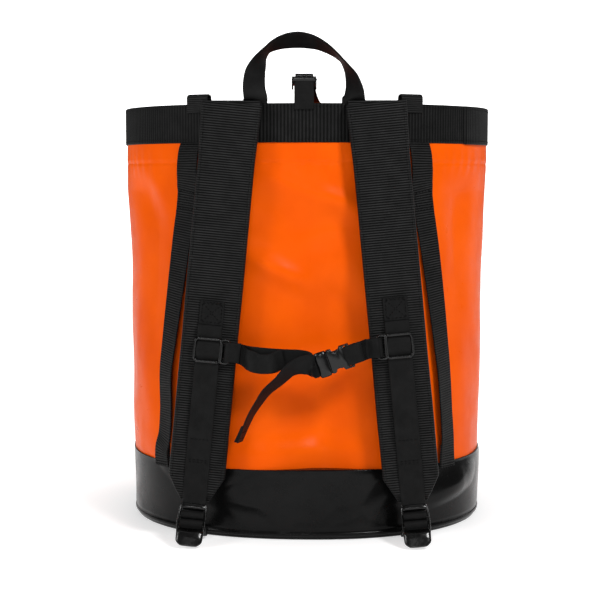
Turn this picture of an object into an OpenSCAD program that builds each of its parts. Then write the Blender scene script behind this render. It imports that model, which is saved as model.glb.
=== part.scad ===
// Open-topped rope storage bag with shoulder straps, millimetres.
// The origin is the centre of the base's underside, +Z is up, and the back
// panel with the shoulder straps faces -Y.

/* [Body] */
// Outside width of the tube from the hem seam up to the rim
rim_w = 402; // [370:2:440]
// Outside depth of the tube from the hem seam up to the rim
rim_d = 326; // [300:2:350]
// Outside width of the tube at the base
base_w = 385; // [360:1:410]
// Outside depth of the tube at the base
base_d = 352; // [320:2:370]
// Height of the rim above the floor
body_h = 449; // [430:2:470]
// Thickness of the tarpaulin wall
wall_t = 1.2; // [0.8:0.1:1.6]

/* [Rim and base] */
// Height of the webbing band round the rim
rim_band_h = 40; // [30:1:50]
// Height of the folded hem inside the rim
hem_h = 60; // [50:1:70]
// Height of the black reinforcement band round the base
base_band_h = 72; // [50:1:80]
// Thickness of the base disc
base_disc_t = 3; // [2:0.5:4]

/* [Webbing] */
// Width of the main webbing
webbing_w = 25; // [24:0.5:26]
// Width of the sternum and closure webbing
narrow_w = 20; // [19:0.5:20.5]
// Thickness of the webbing
webbing_t = 1.8; // [1.4:0.1:2]

/* [Shoulder straps] */
// Distance of each strap's top from the middle of the bag
strap_x = 73; // [66:1:80]
// Width of a shoulder strap
strap_w = 58; // [54:1:64]
// Length of a shoulder strap's padded part
strap_l = 409; // [400:1:410]
// Sideways tilt of the straps, in degrees
strap_tilt = 5.5; // [4:0.1:6]
// Outward lean of the straps, in degrees
strap_lean = 1.5; // [1:0.1:2]
// Distance along a strap from the rim to the top of its rail
rail_top = 202; // [190:1:210]
// Distance along a strap from the rim to the lower end of the free rail
rail_low = 354; // [348:1:362]
// Distance along the left strap from the rim to its slider
slider_drop = 252; // [245:1:260]
// How much higher the right rail and slider sit
right_raise = 5; // [0:1:8]
// Outward tilt of the ladder locks, in degrees
lock_tilt = 36; // [30:1:38]

/* [Handle] */
// Distance of each handle leg from the middle
handle_x = 51.5; // [48:0.5:56]

/* [Buckles] */
// Width of the side-release buckles
buckle_w = 25; // [25:0.5:27]
// Thickness of the side-release buckles
buckle_t = 8; // [8:0.5:10]
// Tilt of the sternum buckle, in degrees
sternum_tilt = 19; // [10:1:25]

/* [Hidden] */

LEFT = -1;
RIGHT = 1;
orange = [0.9, 0.3, 0.02];
black = [0.09, 0.09, 0.09];
dark = [0.14, 0.14, 0.15];

outline_sides = 64;
hem_z = body_h - hem_h;
band_t = 1.0;
gap = 0.1;
inside_gap = 0.6;
stiffener_t = 1.5;
hem_t = 1.0;
rim_inner = -wall_t - stiffener_t - hem_t - 2 * gap;
rim_outer = webbing_t + gap;

lining_t = 1.5;
foam_t = 6;
face_t = 2;
strap_t = lining_t + foam_t + face_t;
strap_y = -rim_d / 2 - 4;
anchor_t = 2;
free_rail_gap = 3.1;
slider_w = 31;
slider_h = 26;
slider_t = 2.6;
side_bar_x = 20.2;
slider_y = strap_t + free_rail_gap + webbing_t + 0.4;
lock_l = 44;
lock_drop = strap_l + 5.5;
lock_y = strap_t + 0.9;
lock_bar_r = 1.9;

housing_l = 17;
tail_l = 7;
buckle_base_l = 12;
webbing_bar_x = housing_l + tail_l - 1.6;
sternum_centre = [31.5, -203, 190.5];
closure_bar = [0, -rim_d / 2 - 0.5, body_h + 22.5];

// ---- helpers ----

function lerp(a, b, t) = a + (b - a) * t;
function unit(v) = v / norm(v);
function signed_pow(v, e) = sign(v) * pow(abs(v), e);

// The tube's cross-section is a superellipse that grows from the base to the hem.
function taper(z) = min(z / hem_z, 1);
function half_w(z) = lerp(base_w, rim_w, taper(z)) / 2;
function half_d(z) = lerp(base_d, rim_d, taper(z)) / 2;
function squareness(z) = lerp(2.2, 2.05, taper(z));
function wall_point(z, off, a) = [
    (half_w(z) + off) * signed_pow(cos(a), 2 / squareness(z)),
    (half_d(z) + off) * signed_pow(sin(a), 2 / squareness(z)),
    z
];
function wall_ring(z, off) = [for (i = [0 : outline_sides - 1]) wall_point(z, off, 360 * i / outline_sides)];

// Back-panel side of the outline: its y at a given x, and how far its normal turns from -Y.
function wall_y(x, z) = -half_d(z) * pow(1 - pow(abs(x) / half_w(z), squareness(z)), 1 / squareness(z));
function wall_turn(x, z) = sign(x) * atan2(
    pow(abs(x) / half_w(z), squareness(z) - 1) / half_w(z),
    pow(abs(wall_y(x, z)) / half_d(z), squareness(z) - 1) / half_d(z)
);
function wall_normal(x, z) = [sin(wall_turn(x, z)), -cos(wall_turn(x, z)), 0];
function wall_along(x, z) = [cos(wall_turn(x, z)), sin(wall_turn(x, z)), 0];
function off_wall(x, z, off) = [x, wall_y(x, z), z] + off * wall_normal(x, z);

function turn_x(a, p) = [p.x, p.y * cos(a) - p.z * sin(a), p.y * sin(a) + p.z * cos(a)];
function turn_y(a, p) = [p.x * cos(a) + p.z * sin(a), p.y, p.z * cos(a) - p.x * sin(a)];
function strap_point(side, p) =
    [side * strap_x, strap_y, body_h] + turn_x(-strap_lean, turn_y(-side * strap_tilt, p));
function sternum_point(p) = sternum_centre + turn_y(-sternum_tilt, p);
function raise(side) = side == RIGHT ? right_raise : 0;
function slider_z(side) = raise(side) - slider_drop;

// Closed surface through a loop of rings, each with the same number of points.
module ring_loft(rings) {
    n = len(rings[0]);
    m = len(rings);
    faces = [
        for (j = [0 : m - 1], i = [0 : n - 1])
            let (a = j * n + i, b = j * n + (i + 1) % n)
            let (c = ((j + 1) % m) * n + (i + 1) % n, d = ((j + 1) % m) * n + i)
            each [[a, c, b], [a, d, c]]
    ];
    polyhedron([for (ring = rings) each ring], faces);
}

// Tube wall between two offsets from the outline, through the heights zs.
module wall_tube(zs, outer, inner) {
    last = len(zs) - 1;
    ring_loft(concat(
        [for (z = zs) wall_ring(z, outer)],
        [for (i = [last : -1 : 0]) wall_ring(zs[i], inner)]
    ));
}

// Flat webbing along stations of [point, width direction].
module ribbon(stations, width, thick) {
    last = len(stations) - 1;
    points = [
        for (i = [0 : last])
            let (p = stations[i][0], across = unit(stations[i][1]) * width / 2)
            let (along = stations[min(i + 1, last)][0] - stations[max(i - 1, 0)][0])
            let (out = unit(cross(along, across)) * thick / 2)
            each [p + across + out, p + across - out, p - across - out, p - across + out]
    ];
    sides = [
        for (j = [0 : last - 1], i = [0 : 3])
            let (a = j * 4 + i, b = j * 4 + (i + 1) % 4)
            each [[a, b, b + 4], [a, b + 4, a + 4]]
    ];
    ends = [[3, 2, 1], [3, 1, 0], [last * 4, last * 4 + 1, last * 4 + 2], [last * 4, last * 4 + 2, last * 4 + 3]];
    polyhedron(points, concat(sides, ends));
}

function arc(c, r, from, to, steps) = [
    for (i = [0 : steps]) let (a = lerp(from, to, i / steps)) c + r * [cos(a), sin(a)]
];
function round_rect(w, h, r) = [
    each arc([w / 2 - r, h / 2 - r], r, 0, 90, 4),
    each arc([r - w / 2, h / 2 - r], r, 90, 180, 4),
    each arc([r - w / 2, r - h / 2], r, 180, 270, 4),
    each arc([w / 2 - r, r - h / 2], r, 270, 360, 4)
];

// Draws children in a strap's own frame: x across, -y outward, -z down the strap.
module on_strap(side) {
    translate([side * strap_x, strap_y, body_h])
        rotate([-strap_lean, 0, 0])
            rotate([0, -side * strap_tilt, 0])
                children();
}

// A flat plate from an outline in x and z, from depth y0 outward to depth y1.
module plate(outline, y0, y1) {
    translate([0, -y0, 0])
        rotate([90, 0, 0])
            linear_extrude(height = y1 - y0)
                polygon(outline);
}

// ---- body ----

module body_shell() {
    color(orange)
        wall_tube([base_disc_t + gap, 67, 200, 320, hem_z, body_h], 0, -wall_t);
}

module hem() {
    color(orange)
        wall_tube([hem_z, body_h], rim_inner + hem_t, rim_inner);
}

module rim_stiffener() {
    color(dark)
        wall_tube([body_h - rim_band_h, body_h - 2], rim_inner + hem_t + gap + stiffener_t, rim_inner + hem_t + gap);
}

module rim_band() {
    color(black)
        wall_tube([body_h - rim_band_h, body_h], rim_outer, gap);
}

module base_band() {
    color(black)
        wall_tube([1, base_band_h / 2, base_band_h], gap + band_t, gap);
}

module base_disc() {
    color(black)
        linear_extrude(height = base_disc_t)
            polygon([for (p = wall_ring(0, 0)) [p.x, p.y]]);
}

// Welded flange round the foot of the base band.
module base_piping() {
    color(black)
        wall_tube([4, 8], 2 * gap + band_t + 1.4, 2 * gap + band_t);
}

// ---- handle ----

// Outer and inner edge of the handle, seen from the back: x, height above the rim, x, height.
handle_edges = [
    [-61.7, 5, -37.6, 4.3], [-62.4, 17.7, -39.9, 14], [-60, 32.3, -40.3, 26.8], [-54.5, 41.4, -39.6, 35.9],
    [-47.2, 48.7, -38.8, 46], [-36.3, 58.2, -36.8, 51.3], [-25.3, 66.1, -25.3, 55.1], [-16.2, 69.7, -14.4, 56.4],
    [-7.1, 71, -5.2, 56.6], [2, 69.7, 3.9, 56], [11.2, 66.1, 14.8, 54.2], [20.3, 60.6, 24.9, 50.2],
    [29.4, 53.3, 33.1, 45.8], [37.7, 45.4, 38.6, 41.1], [45.9, 37.4, 41.9, 32.3], [53.2, 29.6, 42.9, 23.2],
    [57.7, 21.3, 42.9, 15], [60.5, 14, 41.8, 9], [62, 5, 39.8, 4.3]
];
// The webbing's width that isn't seen from the back runs into the depth; the feet lie flat against the hem.
function handle_stations() = [
    for (e = handle_edges)
        let (across = [e[2] - e[0], e[3] - e[1]] / webbing_w)
        [
            [(e[0] + e[2]) / 2, handle_y, body_h + (e[1] + e[3]) / 2],
            [across.x, sqrt(max(0, 1 - across * across)) * min(1, (e[1] + e[3]) / 40), across.y]
        ]
];
handle_y = -rim_d / 2 + 3;

module handle() {
    color(black)
        ribbon(handle_stations(), webbing_w, webbing_t);
}

// Sewn ends of the handle, inside the hem.
module handle_ends() {
    color(black)
        for (side = [LEFT, RIGHT]) {
            stations = [
                for (z = [body_h - 45, body_h - 1])
                    let (x = side * handle_x)
                    [off_wall(x, z, rim_inner - inside_gap - webbing_t / 2), wall_along(x, z)]
            ];
            ribbon(stations, webbing_w, webbing_t);
        }
}

// ---- rim loops and side webbing ----

rim_loop_x = 110;
rim_loop_rise = 10;

module rim_loop(side) {
    x = side * rim_loop_x;
    n = wall_normal(x, body_h);
    outer = rim_outer - webbing_t / 2;
    inner = rim_inner - inside_gap - webbing_t / 2;
    mid = (outer + inner) / 2;
    reach = (outer - inner) / 2;
    lift = rim_loop_rise - webbing_t / 2 - reach / 2;
    profile = [
        [outer, gap],
        each [for (a = [0 : 22.5 : 180]) [mid + reach * cos(a), lift + reach / 2 * sin(a)]],
        [inner, gap],
        [inner, -24]
    ];
    stations = [
        for (p = profile)
            [[x, wall_y(x, body_h), body_h + p[1]] + p[0] * n, wall_along(x, body_h)]
    ];
    color(black)
        ribbon(stations, webbing_w, webbing_t);
}
module rim_loop_left() { rim_loop(LEFT); }
module rim_loop_right() { rim_loop(RIGHT); }

// Height, distance from the middle and stand-off from the wall along a side webbing.
side_route = [
    [408.4, 117.5, 1.5], [399, 117.5, 6.5], [383, 117.5, 9], [367, 119, 6], [357, 121, 1.6],
    [337, 123.5, 1.6], [304, 127.8, 3.5], [260, 133, 4.5], [204, 140, 4.3], [168, 144, 4.2],
    [127, 147, 4], [100, 149, 3.7], [68, 149.4, 3.3]
];

module side_webbing(side) {
    color(black)
        ribbon([
            for (s = side_route)
                [off_wall(side * s[1], s[0], s[2]), wall_along(side * s[1], s[0])]
        ], webbing_w, webbing_t);
}
module side_webbing_left() { side_webbing(LEFT); }
module side_webbing_right() { side_webbing(RIGHT); }

// ---- side-release buckles ----
// Local frame: x runs from the male half to the female half, with 0 at the
// mouth of the housing, y is across and z is through the thickness.

module buckle_female() {
    difference() {
        union() {
            translate([(housing_l + tail_l) / 2, 0, -buckle_t / 2])
                linear_extrude(height = buckle_t)
                    polygon(round_rect(housing_l + tail_l, buckle_w, 2.5));
        }
        translate([-1, -buckle_w / 2 + 1.8, -2.5])
            cube([housing_l - 1, buckle_w - 3.6, 5]);
        for (side = [-1, 1])
            translate([5, side * buckle_w / 2 - 2.5, -2.9])
                cube([7.5, 5, 5.8]);
        translate([housing_l + 0.6, -narrow_w / 2 - 0.4, -buckle_t])
            cube([3.2, narrow_w + 0.8, 2 * buckle_t]);
        for (z = [1.4, -1.4 - buckle_t])
            translate([housing_l + 0.6, -narrow_w / 2 - 0.4, z])
                cube([tail_l, narrow_w + 0.8, buckle_t]);
    }
}

module buckle_male() {
    prong = [
        [-1.2, 6.8], [9, 7], [13.2, 7.8], [14.2, 8.8], [10.6, 10.2], [10, 9.5], [-1.2, 9.8]
    ];
    difference() {
        translate([-buckle_base_l / 2 - 0.6, 0, -3])
            linear_extrude(height = 6)
                polygon(round_rect(buckle_base_l, buckle_w, 2));
        for (x = [-4.9, -10.7])
            translate([x, -narrow_w / 2 - 0.4, -buckle_t])
                cube([2.6, narrow_w + 0.8, 2 * buckle_t]);
    }
    for (side = [0, 1])
        mirror([0, side, 0])
            translate([0, 0, -2])
                linear_extrude(height = 4)
                    polygon(prong);
    translate([-1.2, -1.8, -1.6])
        cube([13, 3.6, 3.2]);
}

module in_closure() {
    translate(closure_bar)
        rotate([0, 0, -90])
            translate([-webbing_bar_x, 0, 0])
                children();
}

module in_sternum() {
    translate(sternum_centre)
        rotate([0, -sternum_tilt, 0])
            rotate([90, 0, 0])
                translate([-6, 0, 0])
                    children();
}

// ---- top closure ----

module closure_tab() {
    profile = [
        [-rim_d / 2 - rim_outer - gap - webbing_t / 2, body_h - 6],
        [-rim_d / 2 - rim_outer - gap - webbing_t / 2, body_h + 3],
        [closure_bar.y - 3.4, closure_bar.z - 4],
        each [for (a = [180 : -30 : 0]) [closure_bar.y + 3.4 * cos(a), closure_bar.z + 3.4 * sin(a)]],
        [closure_bar.y + 3.4, closure_bar.z - 5],
        [-rim_d / 2 - rim_inner + inside_gap + webbing_t / 2, body_h + 2],
        [-rim_d / 2 - rim_inner + inside_gap + webbing_t / 2, body_h - 20]
    ];
    color(black)
        ribbon([for (p = profile) [[0, p[0], p[1]], [1, 0, 0]]], narrow_w, webbing_t);
}

// The half on the tab also has a cheek down each side of its webbing bar.
module closure_buckle_female() {
    color(dark)
        in_closure() {
            buckle_female();
            for (side = [-1, 1])
                translate([webbing_bar_x - 4, side * (buckle_w / 2 - 0.9) - 0.9, -8.5])
                    cube([5, 1.8, 8.5]);
        }
}

module closure_buckle_male() {
    color(dark)
        in_closure()
            buckle_male();
}

closure_route = [
    [0, -128, 477], [0.5, -118, 474.5], [1.5, -104, 464.5], [4.5, -82, 456], [9, -30, 451.8],
    [10, 40, 451], [10, 110, 451.5], [9, 150, 452.5], [8.5, 163, 452.8], [8.5, 167.5, 449], [8.5, 167.6, 429]
];

module closure_strap() {
    color(black)
        ribbon([for (p = closure_route) [p, [1, 0, 0]]], narrow_w, 1.4);
}

// ---- shoulder straps ----

function strap_outline(inset) = let (w = strap_w / 2 - inset, low = inset - strap_l) [
    [-w - 2, -inset], [w + 2, -inset], [w, -60], [w, low + 26], [w - 14, low], [14 - w, low], [-w, low + 26], [-w, -60]
];

module strap_lining(side) {
    color(dark) on_strap(side) plate(strap_outline(0), 0, lining_t);
}
module strap_foam(side) {
    color("dimgray") on_strap(side) plate(strap_outline(3), lining_t, lining_t + foam_t);
}
module strap_face(side) {
    color(black) on_strap(side) plate(strap_outline(0), lining_t + foam_t, strap_t);
}
module strap_lining_left() { strap_lining(LEFT); }
module strap_lining_right() { strap_lining(RIGHT); }
module strap_foam_left() { strap_foam(LEFT); }
module strap_foam_right() { strap_foam(RIGHT); }
module strap_face_left() { strap_face(LEFT); }
module strap_face_right() { strap_face(RIGHT); }

// Flap that carries the strap over the rim and is sewn inside the hem.
module strap_anchor(side) {
    x = side * strap_x;
    lip_y = strap_y + 1.2;
    flap_w = strap_w - 12;
    inside_y = wall_y(x, body_h) - rim_inner + 3;
    color(black) {
        translate([x - flap_w / 2, lip_y, body_h + 0.3])
            cube([flap_w, inside_y - lip_y + anchor_t, anchor_t]);
        stations = [
            for (dx = [-strap_w / 2 + 0.5, 0, strap_w / 2 - 0.5])
                [off_wall(x + dx, body_h, rim_inner - 3.2 - anchor_t / 2) - [0, 0, 21], [0, 0, 1]]
        ];
        ribbon(stations, 44, anchor_t);
    }
}
module strap_anchor_left() { strap_anchor(LEFT); }
module strap_anchor_right() { strap_anchor(RIGHT); }

// Webbing sewn to the strap at both ends, free between so that a slider can ride on it.
module rail(side) {
    top = raise(side) - rail_top;
    path = [
        [strap_t, top], [strap_t, top - 22], [strap_t + free_rail_gap, top - 30],
        [strap_t + free_rail_gap, -rail_low + 6], [strap_t, -rail_low], [strap_t, -lock_drop + 3]
    ];
    last = len(path) - 1;
    profile = concat(
        [for (p = path) [-p[0], p[1]]],
        [for (i = [last : -1 : 0]) [-path[i][0] - webbing_t, path[i][1]]]
    );
    color(black)
        on_strap(side)
            difference() {
                union() {
                    translate([-webbing_w / 2, 0, 0])
                        rotate([90, 0, 90])
                            linear_extrude(height = webbing_w)
                                polygon(profile);
                    translate([-webbing_w / 2, -lock_y, -lock_drop])
                        rotate([0, 90, 0])
                            cylinder(r = 3.5, h = webbing_w, $fn = 48);
                }
                translate([-webbing_w, -lock_y, -lock_drop])
                    rotate([0, 90, 0])
                        cylinder(r = lock_bar_r + 0.1, h = 2 * webbing_w, $fn = 48);
            }
}
module rail_left() { rail(LEFT); }
module rail_right() { rail(RIGHT); }

// Sliding frame: the rail passes behind its face and in front of its middle bar.
module slider(side) {
    loop_x = -side * side_bar_x;
    color(dark)
        on_strap(side)
            translate([0, 0, slider_z(side)]) {
                translate([0, -slider_y, 0])
                    rotate([90, 0, 0])
                        linear_extrude(height = slider_t)
                            difference() {
                                union() {
                                    polygon(round_rect(slider_w, slider_h, 5));
                                    translate([loop_x / 2, 0])
                                        polygon(round_rect(side_bar_x + 3, slider_h - 1, 3));
                                }
                                polygon(round_rect(webbing_w + 0.8, slider_h - 6.4, 2.5));
                                translate([loop_x + side * 3.1, 0])
                                    polygon(round_rect(3.2, narrow_w + 0.8, 1));
                            }
                for (end = [-1, 1])
                    translate([end * (slider_w / 2 - 1.15) - 1.15, -slider_y - slider_t / 2, -4])
                        cube([2.3, slider_y + slider_t / 2 - strap_t - 0.4, 8]);
                translate([-slider_w / 2 + 0.2, -strap_t - free_rail_gap + 0.4, -2.5])
                    cube([slider_w - 0.4, free_rail_gap - 0.8, 5]);
            }
}
module slider_left() { slider(LEFT); }
module slider_right() { slider(RIGHT); }

// Ladder lock: hangs from the rail's end loop and grips the adjuster webbing.
module ladder_lock(side) {
    cheek = [[2.2, 2.4], [-3.2, 2.4], [-4, -8], [-3.6, -28], [0.8, -28], [2.4, -14]];
    tongue = [
        [-14.4, 0], [14.4, 0], [14, -8],
        each arc([7.4, -lock_l + 33], 6.5, 0, -90, 5),
        each arc([-7.4, -lock_l + 33], 6.5, -90, -180, 5),
        [-14, -8]
    ];
    color(dark)
        on_strap(side)
            translate([0, -lock_y, -lock_drop])
                rotate([-lock_tilt + strap_lean, 0, 0]) {
                    for (x = [-14.4, 12.6])
                        translate([x, 0, 0])
                            rotate([90, 0, 90])
                                linear_extrude(height = 1.8)
                                    polygon(cheek);
                    for (bar = [[0, 0, lock_bar_r], [-1.4, -9.5, 1.7], [-0.6, -18, 1.9]])
                        translate([-13.5, bar[0], bar[1]])
                            rotate([0, 90, 0])
                                cylinder(r = bar[2], h = 27, $fn = 32);
                    translate([0, 0, -26.4])
                        plate(tongue, 0.6, 3.2);
                }
}
module ladder_lock_left() { ladder_lock(LEFT); }
module ladder_lock_right() { ladder_lock(RIGHT); }

// Lower webbing from the foot of the bag to the back of the ladder lock.
module adjuster(side) {
    x = side * 113;
    foot = off_wall(x, 14, 3.8);
    along = wall_along(x, 14);
    route = [[-172, 8.5], [-182, 10], [-189.5, 15], [-193, 20]];
    color(black)
        ribbon([
            [foot, along],
            [foot + [0, -6, -3], along + [1, 0, 0]],
            for (p = route) [[x, p[0], p[1]], [1, 0, 0]]
        ], webbing_w, 1.6);
}
module adjuster_left() { adjuster(LEFT); }
module adjuster_right() { adjuster(RIGHT); }

// ---- sternum strap ----

// Fold of webbing round a slider's side bar, ending towards the middle of the bag.
function side_fold(side) = let (bar = [-side * side_bar_x, -slider_y - slider_t / 2]) [
    [bar.x - side * 11, bar.y + 2.8],
    [bar.x - side * 4, bar.y + 3.1],
    each [for (a = [90 : -30 : -90]) [bar.x + side * 3.1 * cos(a), bar.y + 3.1 * sin(a)]],
    [bar.x - side * 4, bar.y - 3.1],
    [bar.x - side * 12, bar.y - 2.6]
];
function strap_fold(side) = [
    for (p = side_fold(side))
        [strap_point(side, [p.x, p.y, slider_z(side)]), strap_point(side, [0, 0, 1]) - strap_point(side, [0, 0, 0])]
];

module sternum_webbing_left() {
    tie = sternum_point([-19.2, -1, 0]);
    color(black)
        ribbon([
            each strap_fold(LEFT),
            [[-55, -199, 193.5], [0, 0, 1]],
            [[-42, -205, 191], [0, 0, 1]],
            [[-25, -204, 190], [0, 0, 1]],
            [[-10, -199, 189.5], [0.05, 0, 1]],
            [[5, -199, 186], [-0.2, 0, 1]],
            [tie + [-3, 0, -1], [-0.3, 0, 1]],
            [tie, [-0.33, 0, 1]]
        ], narrow_w, 1.5);
}

module sternum_webbing_right() {
    bar_x = webbing_bar_x - 6;
    tilted = [-sin(sternum_tilt), 0, cos(sternum_tilt)];
    near = [
        for (p = [[10, 2.7], [4.4, 3], each [for (a = [90 : -30 : -90]) [-3.1 * cos(a), 3.1 * sin(a)]], [4.4, -3]])
            [sternum_point([bar_x + p[0], -p[1], 0]), tilted]
    ];
    far = strap_fold(RIGHT);
    color(black)
        ribbon([each near, each [for (i = [len(far) - 1 : -1 : 0]) far[i]]], narrow_w, 1.5);
}

// Loose end of the sternum strap, hanging from the male half.
module sternum_tail() {
    start = sternum_point([-14, -6.4, 0]);
    color(black)
        ribbon([
            [start, [-0.33, 0, 1]],
            [start + [-6, -2.5, -1], [-0.3, -0.1, 1]],
            [[1, -213, 187], [-0.3, -0.25, 0.92]],
            [[-12.5, -212.5, 181.5], [-0.4, -0.71, 0.57]],
            [[-23, -211.5, 171], [-0.43, -0.82, 0.38]],
            [[-36, -210, 159], [-0.35, -0.88, 0.32]],
            [[-43.5, -208.5, 149], [-0.32, -0.92, 0.23]],
            [[-51.5, -207, 136], [-0.28, -0.95, 0.17]],
            [[-58, -206, 122.5], [-0.25, -0.96, 0.12]],
            [[-64, -205.5, 107.5], [-0.25, -0.96, 0.09]]
        ], narrow_w, 1.5);
}

module sternum_buckle_male() {
    color(dark) in_sternum() buckle_male();
}
module sternum_buckle_female() {
    color(dark) in_sternum() buckle_female();
}

body_shell();
hem();
rim_stiffener();
rim_band();
base_band();
base_disc();
base_piping();
handle();
handle_ends();
rim_loop_left();
rim_loop_right();
side_webbing_left();
side_webbing_right();
closure_tab();
closure_buckle_female();
closure_buckle_male();
closure_strap();
strap_anchor_left();
strap_anchor_right();
strap_face_left();
strap_face_right();
strap_foam_left();
strap_foam_right();
strap_lining_left();
strap_lining_right();
rail_left();
rail_right();
slider_left();
slider_right();
ladder_lock_left();
ladder_lock_right();
adjuster_left();
adjuster_right();
sternum_webbing_left();
sternum_webbing_right();
sternum_tail();
sternum_buckle_male();
sternum_buckle_female();
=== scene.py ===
"""Looks of the rope storage bag: tarpaulin, webbing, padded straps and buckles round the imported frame."""

import math

import bmesh
import bpy
import numpy as np
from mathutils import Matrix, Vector, noise


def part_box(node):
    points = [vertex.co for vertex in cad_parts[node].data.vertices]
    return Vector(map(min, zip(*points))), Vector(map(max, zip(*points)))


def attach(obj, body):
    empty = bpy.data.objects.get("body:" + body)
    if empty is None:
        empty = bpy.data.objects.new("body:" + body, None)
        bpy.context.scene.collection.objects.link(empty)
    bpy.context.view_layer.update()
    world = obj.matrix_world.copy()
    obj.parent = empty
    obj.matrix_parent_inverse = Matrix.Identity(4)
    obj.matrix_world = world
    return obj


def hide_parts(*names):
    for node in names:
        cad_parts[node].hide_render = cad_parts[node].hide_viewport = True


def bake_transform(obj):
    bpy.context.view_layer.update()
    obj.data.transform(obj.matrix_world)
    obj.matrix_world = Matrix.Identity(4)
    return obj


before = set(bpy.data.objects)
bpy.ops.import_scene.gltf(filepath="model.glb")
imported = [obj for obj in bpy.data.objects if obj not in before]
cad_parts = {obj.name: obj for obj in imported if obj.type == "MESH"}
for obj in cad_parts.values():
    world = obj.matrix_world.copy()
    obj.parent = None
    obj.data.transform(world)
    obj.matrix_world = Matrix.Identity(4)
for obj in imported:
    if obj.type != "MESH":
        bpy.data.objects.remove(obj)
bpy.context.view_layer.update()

MM = 0.001
SIDES = {"left": -1, "right": 1}

# ---- sizes shared with the CAD model, in metres ----

rim_low, rim_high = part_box("rim_band")
disc_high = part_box("base_disc")[1]
BAG_TOP = rim_high.z
RIM_BAND_Z = rim_low.z
HEM_Z = BAG_TOP - 60 * MM
BASE_BAND_Z = 72 * MM
WALL_THICK = 1.2 * MM
# half-widths of the tube along x and y, without the webbing on the rim
RIM_BAND_THICK = 1.9 * MM
RIM_HALF = (rim_high.x - RIM_BAND_THICK, rim_high.y - RIM_BAND_THICK)
BASE_HALF = (disc_high.x, disc_high.y)
# how far the tube and the band round its base turn in at the floor
TUBE_TURN_IN = 3.4 * MM
BAND_TURN_IN = 3.2 * MM

STRAP_X = 73 * MM
STRAP_Y = -RIM_HALF[1] - 4 * MM
STRAP_TILT = math.radians(5.5)
STRAP_LEAN = math.radians(1.5)
LOCK_TILT = math.radians(36)
STERNUM_CENTRE = np.array([31.5, -203, 190.5]) * MM
STERNUM_TILT = math.radians(19)
CLOSURE_BAR = np.array([0, -RIM_HALF[1] - 0.5 * MM, BAG_TOP + 22.5 * MM])

# ---- sizes of webbing, straps and buckles, in millimetres in their own frames ----

WEBBING = 25
NARROW = 20
THICK = 1.8
RIB = 2.53
RIM_RIB = 3.62
SCRIM = 1.1
STRAP_LENGTH = 409
STRAP_THICK = 9.5
RAIL_DEPTH = STRAP_THICK + 3.1
SLIDER_DEPTH = RAIL_DEPTH + THICK + 0.4
SLIDER_Z = {"left": -252, "right": -247}
SIDE_BAR_X = 20.2
RAIL_TOP = {"left": -202, "right": -197}
RAIL_LOW = -354
LOCK_PIVOT = (0.0, -(STRAP_THICK + 0.9), -(STRAP_LENGTH + 5.5))
WEBBING_BAR_X = 22.4

# ---- camera, floor and light: made first, because the rest is judged through them ----


def grey(value):
    return (value, value, value)


CAMERA_AT = Vector((0.028, -1.70, 0.371))
CAMERA_YAW = math.radians(1.20)
CAMERA_PITCH = math.radians(4.58)
LIGHT_AIM = Vector((0, 0, 0.2))
FLOOR_GLOW_FAR = grey(0.92)
FLOOR_GLOW_NEAR = grey(0.5)


def make_camera():
    data = bpy.data.cameras.new("camera")
    data.lens = 90
    data.sensor_width = 36
    camera = bpy.data.objects.new("camera", data)
    bpy.context.scene.collection.objects.link(camera)
    camera.location = CAMERA_AT
    camera.rotation_euler = (math.pi / 2 - CAMERA_PITCH, 0, CAMERA_YAW)
    bpy.context.scene.camera = camera


def area_light(name, at, size, power):
    """A soft light of a given size in metres and power in watts, aimed at the middle of the bag."""
    data = bpy.data.lights.new(name, "AREA")
    data.shape = "RECTANGLE"
    data.size, data.size_y = size
    data.energy = power
    light = bpy.data.objects.new(name, data)
    bpy.context.scene.collection.objects.link(light)
    light.location = at
    light.rotation_euler = (LIGHT_AIM - Vector(at)).to_track_quat("-Z", "Y").to_euler()


def stage_plane(name, corners, colour):
    """A plane that glows by itself, so that it stays pale."""
    mesh = bpy.data.meshes.new(name)
    mesh.from_pydata(corners, [], [(0, 1, 2, 3)])
    plane = bpy.data.objects.new(name, mesh)
    bpy.context.scene.collection.objects.link(plane)
    material = bpy.data.materials.new(name)
    material.use_nodes = True
    shader = material.node_tree.nodes["Principled BSDF"]
    shader.inputs["Base Color"].default_value = (*colour, 1)
    shader.inputs["Roughness"].default_value = 0.7
    shader.inputs["Emission Color"].default_value = (1, 1, 1, 1)
    shader.inputs["Emission Strength"].default_value = 1.0
    mesh.materials.append(material)
    return material


def set_ramp(node, low, high, at):
    for element, colour, position in zip(node.color_ramp.elements, (low, high), at):
        element.position = position
        element.color = (*colour, 1)


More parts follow.
